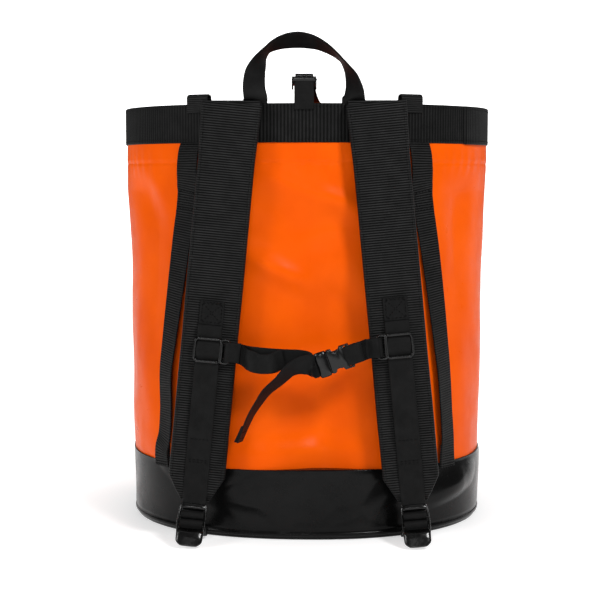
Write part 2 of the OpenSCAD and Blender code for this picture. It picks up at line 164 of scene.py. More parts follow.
def make_studio():
    area_light("key", (1.4, -2.0, 2.1), (0.6, 0.5), 66)
    area_light("fill", (-2.0, -1.5, 1.2), (0.9, 1.0), 30)
    area_light("sheen", (-0.2, -3.2, 1.25), (0.5, 0.3), 10)
    area_light("top", (0.0, -0.2, 2.4), (1.2, 0.6), 3)
    area_light("strip_left", (-1.3, 0.9, 0.5), (0.12, 1.2), 0.5)
    area_light("strip_right", (1.3, 0.9, 0.7), (0.12, 1.2), 2)

    world = bpy.data.worlds.new("studio")
    bpy.context.scene.world = world
    world.use_nodes = True
    light = world.node_tree.nodes["Background"]
    light.inputs["Color"].default_value = (1, 1, 1, 1)
    light.inputs["Strength"].default_value = 0.12

    floor = stage_plane("floor", [(-9, -9, 0), (9, -9, 0), (9, 9, 0), (-9, 9, 0)], grey(0.6))
    stage_plane("backdrop", [(-1.3, 4, -0.3), (1.3, 4, -0.3), (1.3, 4, 2.2), (-1.3, 4, 2.2)], grey(0.9))

    # the floor's own glow is weaker round the bag, so that its contact shadow shows
    tree = floor.node_tree
    coordinates = tree.nodes.new("ShaderNodeTexCoord")
    gradient = tree.nodes.new("ShaderNodeTexGradient")
    gradient.gradient_type = "SPHERICAL"
    mapping = tree.nodes.new("ShaderNodeMapping")
    mapping.inputs["Scale"].default_value = (2.4, 2.4, 2.4)
    ramp = tree.nodes.new("ShaderNodeValToRGB")
    set_ramp(ramp, FLOOR_GLOW_FAR, FLOOR_GLOW_NEAR, (0.20, 0.55))
    tree.links.new(coordinates.outputs["Object"], mapping.inputs[0])
    tree.links.new(mapping.outputs[0], gradient.inputs[0])
    tree.links.new(gradient.outputs["Fac"], ramp.inputs[0])
    tree.links.new(ramp.outputs[0], tree.nodes["Principled BSDF"].inputs["Emission Color"])
    bpy.context.scene.view_settings.view_transform = "Standard"


make_camera()
make_studio()

# ---- materials ----


class Shader:
    """A principled material whose height and colour are built from texture nodes."""

    def __init__(self, name, colour, roughness, coords="UV", **sockets):
        self.material = bpy.data.materials.new(name)
        self.material.use_nodes = True
        self.tree = self.material.node_tree
        self.shader = self.tree.nodes["Principled BSDF"]
        self.shader.inputs["Base Color"].default_value = (*colour, 1)
        self.shader.inputs["Roughness"].default_value = roughness
        for socket, value in sockets.items():
            self.shader.inputs[socket.replace("_", " ")].default_value = value
        coordinates = self.add("ShaderNodeTexCoord")
        millimetres = self.add("ShaderNodeVectorMath", operation="SCALE")
        millimetres.inputs["Scale"].default_value = 1000
        self.link(coordinates.outputs[coords], millimetres.inputs[0])
        self.place = millimetres.outputs[0]
        self.normal = None

    def add(self, kind, **settings):
        node = self.tree.nodes.new(kind)
        for key, value in settings.items():
            setattr(node, key, value)
        return node

    def link(self, a, b):
        self.tree.links.new(a, b)

    def noise(self, size, detail=3.0, roughness=0.5):
        """Noise whose features are about size millimetres."""
        mapping = self.add("ShaderNodeMapping")
        mapping.inputs["Scale"].default_value = [1 / size] * 3
        self.link(self.place, mapping.inputs[0])
        node = self.add("ShaderNodeTexNoise")
        node.inputs["Scale"].default_value = 1.0
        node.inputs["Detail"].default_value = detail
        node.inputs["Roughness"].default_value = roughness
        self.link(mapping.outputs[0], node.inputs["Vector"])
        return node.outputs["Fac"]

    def bands(self, pitch, direction, wobble=0.0):
        """Waves with the given pitch in millimetres along one axis."""
        node = self.add("ShaderNodeTexWave", wave_type="BANDS", bands_direction=direction)
        node.inputs["Scale"].default_value = math.pi / 10 / pitch
        node.inputs["Distortion"].default_value = wobble
        node.inputs["Detail"].default_value = 1.0
        self.link(self.place, node.inputs["Vector"])
        return node.outputs["Fac"]

    def product(self, a, b):
        node = self.add("ShaderNodeMath", operation="MULTIPLY")
        self.link(a, node.inputs[0])
        self.link(b, node.inputs[1])
        return node.outputs[0]

    def bump(self, height, depth_mm, strength):
        node = self.add("ShaderNodeBump")
        node.inputs["Strength"].default_value = strength
        node.inputs["Distance"].default_value = depth_mm * MM
        self.link(height, node.inputs["Height"])
        if self.normal is not None:
            self.link(self.normal, node.inputs["Normal"])
        self.normal = node.outputs[0]
        self.link(self.normal, self.shader.inputs["Normal"])

    def two_tone(self, fac, low, high, at):
        node = self.add("ShaderNodeValToRGB")
        set_ramp(node, low, high, at)
        self.link(fac, node.inputs[0])
        return node.outputs[0]

    def ramp(self, fac, low, high, socket, at=(0.3, 0.7)):
        self.link(self.two_tone(fac, low, high, at), self.shader.inputs[socket])


def tarpaulin(name, dark, light, roughness, weave, specular, soft):
    """PVC-coated fabric: a faint scrim under a satin coat, with soft scuffs. weave is the scrim's height in
    millimetres, and soft scales the dimples of the coat."""
    s = Shader(name, light, roughness, Specular_IOR_Level=specular)
    s.ramp(s.noise(70, detail=4), dark, light, "Base Color")
    s.ramp(s.noise(22, detail=6, roughness=0.65), grey(roughness - 0.06), grey(roughness + 0.1), "Roughness")
    scrim = s.product(s.bands(SCRIM, "X"), s.bands(SCRIM, "Y"))
    s.bump(scrim, weave, 0.5)
    s.bump(s.noise(3.2, detail=5, roughness=0.6), 0.09 * soft, 0.55)
    s.bump(s.noise(45, detail=3), 1.1 * soft, 0.35)
    return s.material


def webbing(name, dark, light, along, across, depth, ribs=None):
    """Woven nylon: threads along and across the strip, with their pitches and height in millimetres. ribs is
    the pitch and direction of its ribs, and the factors on its colour that paint shade into their valleys and
    a highlight onto their crests."""
    s = Shader(name, light, 0.48, Specular_IOR_Level=0.05)
    s.ramp(s.noise(16, detail=6, roughness=0.7), dark, light, "Base Color")
    weave = s.product(s.bands(along, "X", 0.4), s.bands(across, "Y", 0.4))
    s.bump(weave, depth, 0.8)
    s.bump(s.noise(0.8, detail=2), 0.05, 0.6)
    s.bump(s.noise(18, detail=3), 0.5, 0.3)
    if ribs:
        pitch, direction, painted_valley_shade, painted_crest_highlight = ribs
        # painted light across the ribs: painted shade darkens the valleys and a painted highlight brightens
        # the crests
        painted_rib_light = s.two_tone(s.bands(pitch, direction), grey(painted_valley_shade), grey(painted_crest_highlight), (0.15, 0.95))
        mix = s.add("ShaderNodeMix", data_type="RGBA", blend_type="MULTIPLY")
        mix.inputs[0].default_value = 1.0
        base = s.shader.inputs["Base Color"].links[0].from_socket
        s.link(base, mix.inputs[6])
        s.link(painted_rib_light, mix.inputs[7])
        s.link(mix.outputs[2], s.shader.inputs["Base Color"])
    return s.material


def plastic(name, light, roughness):
    """Moulded acetal: satin, with faint flow marks."""
    s = Shader(name, grey(light), roughness, coords="Object", Specular_IOR_Level=0.3)
    s.ramp(s.noise(9, detail=4), grey(light * 0.8), grey(light), "Base Color")
    s.ramp(s.noise(4, detail=5, roughness=0.6), grey(roughness - 0.07), grey(roughness + 0.1), "Roughness")
    s.bump(s.noise(0.5, detail=3), 0.02, 0.5)
    return s.material


ORANGE = tarpaulin("tarpaulin_orange", (0.64, 0.070, 0.0005), (0.72, 0.088, 0.001),
                   roughness=0.32, weave=0.05, specular=0.035, soft=1.0)
BLACK_TARP = tarpaulin("tarpaulin_black", grey(0.002), grey(0.003),
                       roughness=0.22, weave=0.03, specular=0.11, soft=0.25)
# both ribbed webbings have painted rib light: their colour is darkened in the rib valleys as painted shade
# and brightened on the crests as painted highlight
RIBBED = webbing("webbing_ribbed", grey(0.003), grey(0.006), 1.5, 0.7, 0.10, ribs=(RIB, "Y", 0.05, 4.0))
RIM_RIBBED = webbing("webbing_rim", grey(0.004), grey(0.008), 0.8, 1.6, 0.10, ribs=(RIM_RIB, "X", 0.35, 1.7))
SMOOTH = webbing("webbing_smooth", grey(0.004), grey(0.008), 1.25, 0.8, 0.10)
PLASTIC = plastic("buckle_plastic", 0.003, roughness=0.2)
THREAD = webbing("thread", grey(0.001), grey(0.002), 0.5, 0.4, 0.05)

# ---- geometry helpers ----


def taper(z):
    return np.minimum(np.asarray(z, float) / HEM_Z, 1)


def half(z, axis):
    return BASE_HALF[axis] + (RIM_HALF[axis] - BASE_HALF[axis]) * taper(z)


def squareness(z):
    return 2.2 - 0.15 * taper(z)


def wall(angle, z, off=0.0):
    """Points on the tube's outline at the given angles and heights, off metres outside it."""
    power = 2 / squareness(z)
    c, s = np.cos(angle), np.sin(angle)
    x = (half(z, 0) + off) * np.sign(c) * np.abs(c) ** power
    y = (half(z, 1) + off) * np.sign(s) * np.abs(s) ** power
    return np.stack([x, y, np.broadcast_to(z, x.shape)], -1)


def wall_y(x, z):
    return float(-half(z, 1) * (1 - (abs(x) / half(z, 0)) ** squareness(z)) ** (1 / squareness(z)))


def wall_turn(x, z):
    n = squareness(z) - 1
    nx = (abs(x) / half(z, 0)) ** n / half(z, 0)
    ny = (abs(wall_y(x, z)) / half(z, 1)) ** n / half(z, 1)
    return math.copysign(math.atan2(nx, ny), x)


def wall_normal(x, z):
    a = wall_turn(x, z)
    return np.array([math.sin(a), -math.cos(a), 0])


def wall_along(x, z):
    a = wall_turn(x, z)
    return np.array([math.cos(a), math.sin(a), 0])


def off_wall(x, z, off):
    return np.array([x, wall_y(x, z), z]) + off * wall_normal(x, z)


def turn_x(a, p):
    c, s = math.cos(a), math.sin(a)
    return np.array([p[0], p[1] * c - p[2] * s, p[1] * s + p[2] * c])


def turn_y(a, p):
    c, s = math.cos(a), math.sin(a)
    return np.array([p[0] * c + p[2] * s, p[1], p[2] * c - p[0] * s])


def strap_direction(side, d):
    return turn_x(-STRAP_LEAN, turn_y(-SIDES[side] * STRAP_TILT, d))


def strap_point(side, p):
    return np.array([SIDES[side] * STRAP_X, STRAP_Y, BAG_TOP]) + strap_direction(side, p) * MM


def sternum_point(p):
    """A point in the sternum buckle's frame: x to the female half, y up, z out from the back panel."""
    return STERNUM_CENTRE + turn_y(-STERNUM_TILT, (p[0] - 6, -p[2], p[1])) * MM


def closure_point(p):
    """A point in the top buckle's frame: x to the webbing bar on the tab, z up."""
    return CLOSURE_BAR + np.array([p[1], WEBBING_BAR_X - p[0], p[2]]) * MM


def mm(*values):
    return np.array(values) * MM


def mesh_piece(name, verts, faces, material, uvs=None):
    mesh = bpy.data.meshes.new(name)
    mesh.from_pydata([tuple(v) for v in verts], [], faces)
    mesh.materials.append(material)
    if uvs is not None:
        layer = mesh.uv_layers.new(name="UVMap")
        loops = np.zeros(len(mesh.loops), int)
        mesh.loops.foreach_get("vertex_index", loops)
        layer.data.foreach_set("uv", np.asarray(uvs, np.float32)[loops].ravel())
    mesh.polygons.foreach_set("use_smooth", [True] * len(mesh.polygons))
    mesh.update()
    piece = bpy.data.objects.new(name, mesh)
    bpy.context.scene.collection.objects.link(piece)
    return piece


def grid_faces(rows, columns, closed=False):
    """Quads between rows of points, each row a closed ring; closed also joins the last row to the first."""
    return [
        (i * columns + j, i * columns + (j + 1) % columns,
         (i + 1) % rows * columns + (j + 1) % columns, (i + 1) % rows * columns + j)
        for i in range(rows if closed else rows - 1) for j in range(columns)
    ]


def end_faces(rows, columns):
    return [tuple(range(columns))[::-1], tuple((rows - 1) * columns + j for j in range(columns))]


def path_lengths(points):
    """Distance along a line of points, at each of them."""
    return np.concatenate([[0], np.cumsum(np.linalg.norm(np.diff(points, axis=0), axis=1))])


def curve_points(points, step):
    """Samples of a smooth curve through the points, about every step metres, and their places in the list."""
    p = np.asarray(points, float)
    padded = np.vstack([2 * p[0] - p[1], p, 2 * p[-1] - p[-2]])
    out, at = [], []
    for i in range(len(p) - 1):
        a, b, c, d = padded[i : i + 4]
        n = max(2, int(math.ceil(np.linalg.norm(c - b) / step)))
        t = np.linspace(0, 1, n, endpoint=False)[:, None]
        ab, bc, cd = (max(np.linalg.norm(v) ** 0.5, 1e-6) for v in (b - a, c - b, d - c))
        leave = (c - b) + bc * ((b - a) / ab - (c - a) / (ab + bc))
        arrive = (c - b) + bc * ((d - c) / cd - (d - b) / (bc + cd))
        ease = 3 * t**2 - 2 * t**3
        out.append((1 - ease) * b + (t**3 - 2 * t**2 + t) * leave + ease * c + (t**3 - t**2) * arrive)
        at.append(i + t[:, 0])
    out.append(p[-1:])
    at.append([len(p) - 1])
    return np.vstack(out), np.concatenate(at)


def even_curve(points, across, step):
    """Evenly spaced frames along a smooth curve: place, along, across, normal and distance."""
    fine, at = curve_points(points, step / 2)
    lengths = path_lengths(fine)
    count = max(3, int(round(lengths[-1] / step)) + 1)
    s = np.linspace(0, lengths[-1], count)
    place = np.stack([np.interp(s, lengths, fine[:, k]) for k in range(3)], -1)
    where = np.interp(s, lengths, at)
    wide = np.asarray(across, float)
    if wide.ndim == 1:
        wide = np.tile(wide, (len(points), 1))
    wide = np.stack([np.interp(where, range(len(points)), wide[:, k]) for k in range(3)], -1)
    along = np.gradient(place, axis=0)
    along /= np.linalg.norm(along, axis=1)[:, None]
    wide -= (wide * along).sum(1)[:, None] * along
    wide /= np.linalg.norm(wide, axis=1)[:, None]
    return place, along, wide, np.cross(along, wide), s


def webbing_section(width, thick, columns):
    """Places across a woven strip and half its thickness there, with rounded edges."""
    edge = np.array([1.0, 0.985, 0.95])
    rounding = np.array([0.15, 0.62, 0.9])
    u = np.concatenate([-edge, np.linspace(-0.9, 0.9, columns), edge[::-1]])
    h = np.concatenate([rounding, np.ones(columns), rounding[::-1]])
    return u * width / 2, h * thick / 2


def stitch_runs(runs, pitch):
    """Start and end of each stitch along polylines of (across, along) points in millimetres."""
    for run in runs:
        for a, b in zip(run[:-1], run[1:]):
            a, b = mm(*a), mm(*b)
            count = max(1, int(np.linalg.norm(b - a) / (pitch * MM)))
            for i in range(count):
                yield a + (b - a) * (i + 0.12) / count, a + (b - a) * (i + 0.82) / count


def stitch_mesh(stitches, radius, start=0):
    """Short lens-shaped threads. A stitch is its two ends, and the ways to its side and out of the cloth."""
    verts, faces = [], []
    for a, b, side, up in stitches:
        mid = (a + b) / 2 + up * radius * 0.8
        first = start + len(verts)
        verts += [a, mid + side * radius, b, mid - side * radius, mid + up * radius * 0.9]
        shape = ((0, 1, 4), (1, 2, 4), (2, 3, 4), (3, 0, 4), (0, 3, 2, 1))
        faces += [tuple(first + k for k in face) for face in shape]
    return verts, faces


def thread_piece(name, stitches, radius):
    verts, faces = stitch_mesh(stitches, radius)
    return mesh_piece(name, verts, faces, THREAD, np.zeros((len(verts), 2)))


def strip(name, points, across, width, thick, material=SMOOTH, front=(0, -1, 0), rib=None, stitches=(),
          narrowing=None, step=2.5, columns=9, pitch=3.4):
    """A length of webbing along a curve of points in metres; its other sizes are in millimetres. rib is the
    pitch and depth of the ribs across it, narrowing(s) scales its width, and stitches are polylines of
    (across, along)."""
    if rib:
        step = rib[0] / 4
    place, along, wide, normal, s = even_curve(points, across, step * MM)
    if np.mean(normal @ np.asarray(front, float)) < 0:
        normal = -normal
    u, h = webbing_section(width * MM, thick * MM, columns)
    scale = narrowing(s) if narrowing else np.ones(len(s))
    up = down = np.broadcast_to(h, (len(s), len(u)))
    if rib:
        fade = np.clip((width * MM / 2 - np.abs(u)) / (1.2 * MM), 0, 1)
        wave = (0.5 - 0.5 * np.cos(2 * math.pi * s / (rib[0] * MM))) ** 0.7
        up = up - rib[1] * MM * (1 - wave)[:, None] * fade
        down = down - rib[1] * MM * 0.6 * wave[:, None] * fade
    flat = scale[:, None, None] * u[None, :, None] * wide[:, None, :]
    top = place[:, None, :] + flat + up[:, :, None] * normal[:, None, :]
    bottom = place[:, None, :] + flat - down[:, :, None] * normal[:, None, :]
    ring = np.concatenate([top, bottom[:, ::-1]], 1)
    n, m = ring.shape[:2]
    verts = list(ring.reshape(-1, 3))
    faces = grid_faces(n, m) + end_faces(n, m)
    if np.cross(along[0], wide[0]) @ normal[0] > 0:
        faces = [f[::-1] for f in faces]
    phase = s * (RIB / rib[0]) if rib else s
    across_uv = np.concatenate([u, u[::-1]])
    uvs = [(x, y) for y in phase for x in across_uv]

    def on_front(q):
        i = np.clip(np.searchsorted(s, q[1]), 1, n - 1)
        t = np.clip((q[1] - s[i - 1]) / (s[i] - s[i - 1]), 0, 1)
        lift = np.interp(q[0], u, up[i])
        base = place[i - 1] * (1 - t) + place[i] * t
        return base + wide[i] * q[0] * scale[i] + normal[i] * (lift + 0.05 * MM), normal[i]

    threads = []
    for a, b in stitch_runs(stitches, pitch):
        (start, out), (end, _) = on_front(a), on_front(b)
        direction = end - start
        threads.append((start, end, np.cross(direction / max(np.linalg.norm(direction), 1e-9), out), out))
    thread_verts, thread_faces = stitch_mesh(threads, 0.42 * MM, len(verts))
    uvs += [(0, 0)] * len(thread_verts)
    piece = mesh_piece(name, verts + thread_verts, faces + thread_faces, material, uvs)
    if threads:
        piece.data.materials.append(THREAD)
        for polygon in list(piece.data.polygons)[len(faces) :]:
            polygon.material_index = 1
    return piece


def seams(half_length, *places):
    """Straight rows of stitching across a strip, at places along it, in millimetres."""
    return [[(-half_length, place), (half_length, place)] for place in places]


def box_tack(width, start, end):
    """A sewn box with a cross in it, in millimetres along and across a strip."""
    w = width / 2
    box = [(-w, start), (w, start), (w, end), (-w, end), (-w, start)]
    return [box, [(-w, start), (w, end)], [(w, start), (-w, end)]]


def tube_loft(name, rings, material, uvs=None, caps=True):
    """Surface through a list of rings of points, capped at both ends."""
    n, m = len(rings), len(rings[0])
    faces = grid_faces(n, m) + (end_faces(n, m) if caps else [])
    return mesh_piece(name, np.concatenate(rings), faces, material, uvs)


def bar_piece(points, size, up, power=3.0, closed=False):
    """A bar with a rounded rectangular section along a line of points. size is its width and height in
    millimetres, and a higher power makes the section squarer."""
    p = np.asarray(points, float)
    along = np.roll(p, -1, 0) - np.roll(p, 1, 0) if closed else np.gradient(p, axis=0)
    along /= np.linalg.norm(along, axis=1)[:, None]
    side = np.cross(along, np.asarray(up, float))
    side /= np.linalg.norm(side, axis=1)[:, None]
    lift = np.cross(side, along)
    a = np.linspace(0, 2 * math.pi, 16, endpoint=False)
    c = np.sign(np.cos(a)) * np.abs(np.cos(a)) ** (2 / power) * size[0] * MM / 2
    d = np.sign(np.sin(a)) * np.abs(np.sin(a)) ** (2 / power) * size[1] * MM / 2
    rings = [p[i] + np.outer(c, side[i]) + np.outer(d, lift[i]) for i in range(len(p))]
    if closed:
        rings.append(rings[0])
    return tube_loft("bar", rings, PLASTIC, caps=not closed)


def rounded_outline(width, height, radius, steps):
    """A rectangle with round corners, counter-clockwise from the right."""
    x, y = width / 2 - radius, height / 2 - radius
    points = []
    for cx, cy, start in ((x, y, 0), (-x, y, 90), (-x, -y, 180), (x, -y, 270)):
        for i in range(steps + 1):
            a = math.radians(start + 90 * i / steps)
            points.append((cx + radius * math.cos(a), cy + radius * math.sin(a)))
    return points


def join_pieces(name, pieces):
    """One object from several, keeping their materials."""
    bm = bmesh.new()
    materials = []
    for piece in pieces:
        offset = len(materials)
        materials += list(piece.data.materials)
        before = len(bm.faces)
        bm.from_mesh(piece.data)
        bm.faces.ensure_lookup_table()
        for face in bm.faces[before:]:
            face.material_index += offset
    mesh = bpy.data.meshes.new(name)
    for material in materials:
        mesh.materials.append(material)
    bm.to_mesh(mesh)
    bm.free()
    for piece in pieces:
        bpy.data.objects.remove(piece)
    joined = bpy.data.objects.new(name, mesh)
    bpy.context.scene.collection.objects.link(joined)
    return joined


def finish_piece(piece, body, replaces=()):
    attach(piece, body)
    if replaces:
        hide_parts(*replaces)


# ---- the tube, its rim and its base ----

# Dents, creases and bulges of the back panel in millimetres: x, z, half-widths, turn in degrees, outward.
DENTS = (
    (20, 135, 40, 95, 0, -23.0), (12, 260, 60, 90, 6, -6.0), (24, 238, 60, 26, -14, -4.0),
    (-22, 276, 46, 12, -28, 7.0), (36, 250, 40, 12, -24, -3.4), (30, 350, 46, 13, -22, 6.0),
    (22, 322, 50, 20, 10, -6.0), (-26, 376, 20, 10, -35, 4.6), (-40, 345, 26, 18, -30, -3.4),
    (-20, 108, 90, 14, 0, -2.4), (10, 92, 70, 9, 3, 1.6), (168, 303, 22, 100, 4, -6.0),
    (-168, 283, 24, 100, -4, -6.0), (186, 230, 16, 26, 30, 3.4), (178, 155, 22, 80, -3, 3.4),
    (-176, 145, 22, 76, 6, 4.0), (-178, 355, 14, 30, 18, -4.6), (-160, 370, 12, 30, 20, 3.0),
    (178, 359, 14, 34, -14, -4.6), (-165, 45, 20, 34, 18, -7.0), (158, 44, 34, 16, 28, 7.0),
    (150, 22, 50, 12, 8, -4.0), (60, 38, 70, 20, 6, 3.0), (-40, 46, 80, 14, 0, -3.0),
)


def rough(points, layers):
    """Sum of noise layers at points; a layer is its height, and its scale and offset on each axis."""
    return np.array([
        sum(height * noise.noise(Vector(q * scale + offset)) for height, scale, offset in layers)
        for q in points.reshape(-1, 3)
    ]).reshape(points.shape[:-1])


def folds(angle, z):
    """How far the tarpaulin bulges out of its true outline, in metres."""
    angle, z = np.broadcast_arrays(angle, z)
    p = wall(angle, z)
    x, z = p[..., 0] / MM, p[..., 2] / MM
    back = np.clip(-p[..., 1] / 0.1, 0, 1)
    dents = np.zeros(x.shape)
    for cx, cz, wx, wz, turn, lift in DENTS:
        a = math.radians(turn)
        u = (x - cx) * math.cos(a) + (z - cz) * math.sin(a)
        v = (z - cz) * math.cos(a) - (x - cx) * math.sin(a)
        dents += back * lift * np.exp(-((u / wx) ** 2) - (v / wz) ** 2)
    ripples = rough(p, (
        (4.0, (9, 9, 5.5), (0, 0, 0)), (1.5, (22, 22, 13), (5, 0, 0)), (0.35, (55, 55, 30), (0, 9, 0)),
    ))
    above_hem = z - HEM_Z / MM
    edge = np.clip((z - 6) / 26, 0, 1) * np.clip(-above_hem / 30, 0, 1)
    hem = np.clip(above_hem / 1.2 + 0.5, 0, 1)
    weld = np.exp(-((above_hem / 2.2) ** 2))
    pucker = 0.35 * np.sin(angle * 70 + 1.5 * np.sin(angle * 9)) * np.exp(-((above_hem / 12) ** 2))
    return (edge * (dents + ripples) + 0.25 * hem - 0.5 * weld + pucker) * MM


def wall_piece(name, heights, outer, inner, material, columns):
    """A ring along the tube's outline, between two stand-offs that may be functions of angle and height."""
    angle = np.linspace(0, 2 * math.pi, columns, endpoint=False)[None, :]
    z = np.asarray(heights, float)[:, None]
    angle, z = np.broadcast_arrays(angle, z)
    outside, inside = (wall(angle, z, off(angle, z) if callable(off) else off) for off in (outer, inner))
    rows = np.concatenate([outside, inside[::-1]], 0)
    n, m = rows.shape[:2]
    u = np.tile(path_lengths(outside[0]), (n, 1))
    v = np.concatenate([z[:, :1], z[::-1, :1]], 0) + np.zeros((n, m))
    uvs = np.stack([u, v], -1).reshape(-1, 2)
    return mesh_piece(name, rows.reshape(-1, 3), grid_faces(n, m, closed=True), material, uvs)


FOLD_COLUMNS = 480
FOLD_ANGLES = np.linspace(-math.pi, math.pi, FOLD_COLUMNS + 1)
FOLD_HEIGHTS = np.concatenate([
    np.linspace(0, HEM_Z - 8 * MM, 130), np.linspace(HEM_Z - 7 * MM, HEM_Z + 7 * MM, 18),
    np.linspace(HEM_Z + 8 * MM, BAG_TOP, 20),
])
FOLD_GRID = folds(FOLD_ANGLES[None, :], FOLD_HEIGHTS[:, None])


def fold_at(angle, z):
    """The same folds, looked up in a grid, so that every piece on the wall agrees with the tarpaulin."""
    across = (np.asarray(angle, float) + math.pi) % (2 * math.pi) / (2 * math.pi) * FOLD_COLUMNS
    across = np.clip(across, 0, FOLD_COLUMNS - 0.001)
    up = np.clip(np.interp(z, FOLD_HEIGHTS, np.arange(len(FOLD_HEIGHTS))), 0, len(FOLD_HEIGHTS) - 1.001)
    i, j = up.astype(int), across.astype(int)
    s, t = up - i, across - j
    left = FOLD_GRID[i, j] * (1 - s) + FOLD_GRID[i + 1, j] * s
    right = FOLD_GRID[i, j + 1] * (1 - s) + FOLD_GRID[i + 1, j + 1] * s
    return left * (1 - t) + right * t


def fold_here(x, z):
    """The fold at a given x on the back panel."""
    c = abs(x / half(z, 0)) ** (squareness(z) / 2)
    a = math.acos(min(1, float(c)))
    return float(fold_at(-a if x > 0 else a - math.pi, z))


def foot_curve(z):
    """How far the wall has turned in towards its foot, from 0 to 1 at the floor."""
    return np.clip(1 - z / (11 * MM), 0, 1) ** 2.2


def girth(z):
    return float(sum(np.linalg.norm(np.diff(wall(np.linspace(0, 2 * math.pi, 200), z), axis=0), axis=1)))


def make_tube():
    heights = np.concatenate([
        np.linspace(3.1 * MM, HEM_Z - 6 * MM, 150), np.linspace(HEM_Z - 5 * MM, HEM_Z + 5 * MM, 16),
        np.linspace(HEM_Z + 7 * MM, BAG_TOP, 12),
    ])

    def outside(a, z):
        under_band = 0.3 * MM * (z < BASE_BAND_Z - 3 * MM)
        return fold_at(a, z) - TUBE_TURN_IN * foot_curve(z) - under_band

    def inside(a, z):
        return outside(a, z) - WALL_THICK

    tube = wall_piece("tarpaulin_tube", heights, outside, inside, ORANGE, 480)
    finish_piece(tube, "bag", ["body_shell"])
    girth(0.2)

    def inside_hem(a, z):
        return -3.9 * MM + 0.3 * MM * np.sin(a * 60) * np.exp(-((z - HEM_Z) / (5 * MM)) ** 2)

    hem = wall_piece("folded_hem", np.linspace(HEM_Z, BAG_TOP, 20), -2.9 * MM, inside_hem, ORANGE, 360)
    finish_piece(hem, "bag", ["hem"])


def make_rim():
    turn = np.linspace(0, 2 * math.pi, 2000)
    lengths = path_lengths(wall(turn, BAG_TOP))
    columns = int(round(lengths[-1] / (RIM_RIB * MM))) * 6
    angles = np.interp(np.linspace(0, lengths[-1], columns, endpoint=False), lengths, turn)
    rib = (0.5 + 0.5 * np.cos(np.arange(columns) / 6 * 2 * math.pi)) ** 0.6
    # the band's end lies over its start near the right-hand side
    start, end = -0.60, -0.10
    signed = (angles + math.pi) % (2 * math.pi) - math.pi
    lap = np.clip((signed - start) / 0.02, 0, 1) * np.clip((end - signed) / 0.30, 0, 1)
    edge = mm(0.0, 0.35, 0.8, 1.6, 3.2)
    edge_rise = [0.35, 0.75, 0.95, 1, 1]
    middle = np.linspace(RIM_BAND_Z + 6 * MM, BAG_TOP - 6 * MM, 8)
    heights = np.concatenate([RIM_BAND_Z + edge, middle, BAG_TOP - edge[::-1]])
    rise = edge_rise + [1] * len(middle) + edge_rise[::-1]
    wavy = fold_at(angles, np.full_like(angles, 0.37))
    rows = []
    for z, k in zip(heights, rise):
        fade = min(1, min(z - RIM_BAND_Z, BAG_TOP - z) / (2.2 * MM))
        depth = 0.1 * MM + 1.8 * MM * k - 0.32 * MM * rib * fade + 1.7 * MM * lap
        sag = 0.6 * MM * lap * (z < RIM_BAND_Z + 8 * MM)
        rows.append(wall(angles, z - sag, depth + 0.12 * wavy))
    rows += [wall(angles, np.full_like(angles, z), 0.1 * MM) for z in (BAG_TOP, RIM_BAND_Z)]
    uvs = [(j / 6 * RIM_RIB * MM, row[j][2]) for row in rows for j in range(columns)]
    faces = grid_faces(len(rows), columns, closed=True)
    band = mesh_piece("ribbed_rim_band", np.concatenate(rows), faces, RIM_RIBBED, uvs)
    # two rows of thread along the band
    stitches = []
    for z in (RIM_BAND_Z + 3.4 * MM, BAG_TOP - 3.4 * MM):
        for s in np.arange(0, lengths[-1], 3.6 * MM):
            a = np.interp([s, s + 2.4 * MM], lengths, turn)
            lifted = 1.75 * MM + 1.7 * MM * float(np.interp(a[0], angles, lap))
            first, last = wall(a, np.array([z, z]), lifted)
            out = first * [1, 1, 0]
            stitches.append((first, last, np.array([0, 0, 1.0]), out / np.linalg.norm(out)))
    piece = join_pieces("rim_webbing", [band, thread_piece("rim_thread", stitches, 0.36 * MM)])
    finish_piece(piece, "bag", ["rim_band"])


def make_base():
    def wrinkles(a, z):
        p = wall(a, z)
        creases = abs(rough(p, ((0.3, (24, 24, 50), (2, 0, 0)),)))
        out = creases + rough(p, ((1.5, (9, 9, 20), (0, 0, 3)), (0.04, (90, 90, 150), (0, 0, 0))))
        top = np.clip((BASE_BAND_Z - 0.5 * MM - z) / (4 * MM), 0, 1)
        seam = np.exp(-(((z - 9.6 * MM) / (1.4 * MM)) ** 2))
        return ((0.5 + out) * top - 0.6 * seam) * MM - BAND_TURN_IN * foot_curve(z)

    def outside(a, z):
        return np.maximum(fold_at(a, z), -BAND_TURN_IN * foot_curve(z)) + 1.1 * MM + wrinkles(a, z)

    def inside(a, z):
        return fold_at(a, z) + 0.1 * MM - TUBE_TURN_IN * foot_curve(z)

    def flange(a, z):
        rounding = np.clip(1 - ((z - 6 * MM) / (2.3 * MM)) ** 2, 0, 1)
        return wrinkles(a, np.full_like(z, 9 * MM)) + 0.8 * MM + 1.3 * MM * np.sqrt(rounding)

    heights = np.concatenate([np.linspace(0.6 * MM, 14 * MM, 26), np.linspace(15 * MM, 68 * MM, 44),
                              mm(69, 70, 71, 71.6, 72)])
    band = wall_piece("base_tarpaulin", heights, outside, inside, BLACK_TARP, 600)
    finish_piece(band, "bag", ["base_band"])
    girth(0.03)

    piping = wall_piece("base_flange", np.linspace(3.8 * MM, 8.2 * MM, 9), flange, -1.5 * MM, BLACK_TARP, 480)
    finish_piece(piping, "bag", ["base_piping"])

    turn = np.linspace(0, 2 * math.pi, 360, endpoint=False)
    profile = ((0, -5), (0.8, -3.2), (2.2, -2.6), (3, -3))
    rings = [wall(turn, np.full(360, z * MM), off * MM) for z, off in profile]
    disc = tube_loft("base_panel", rings, BLACK_TARP, uvs=np.concatenate(rings)[:, :2])
    finish_piece(disc, "bag", ["base_disc"])


make_tube()
make_rim()
make_base()

# ---- shoulder straps: their frame is in millimetres, x across, y into the bag and z up from the rim ----


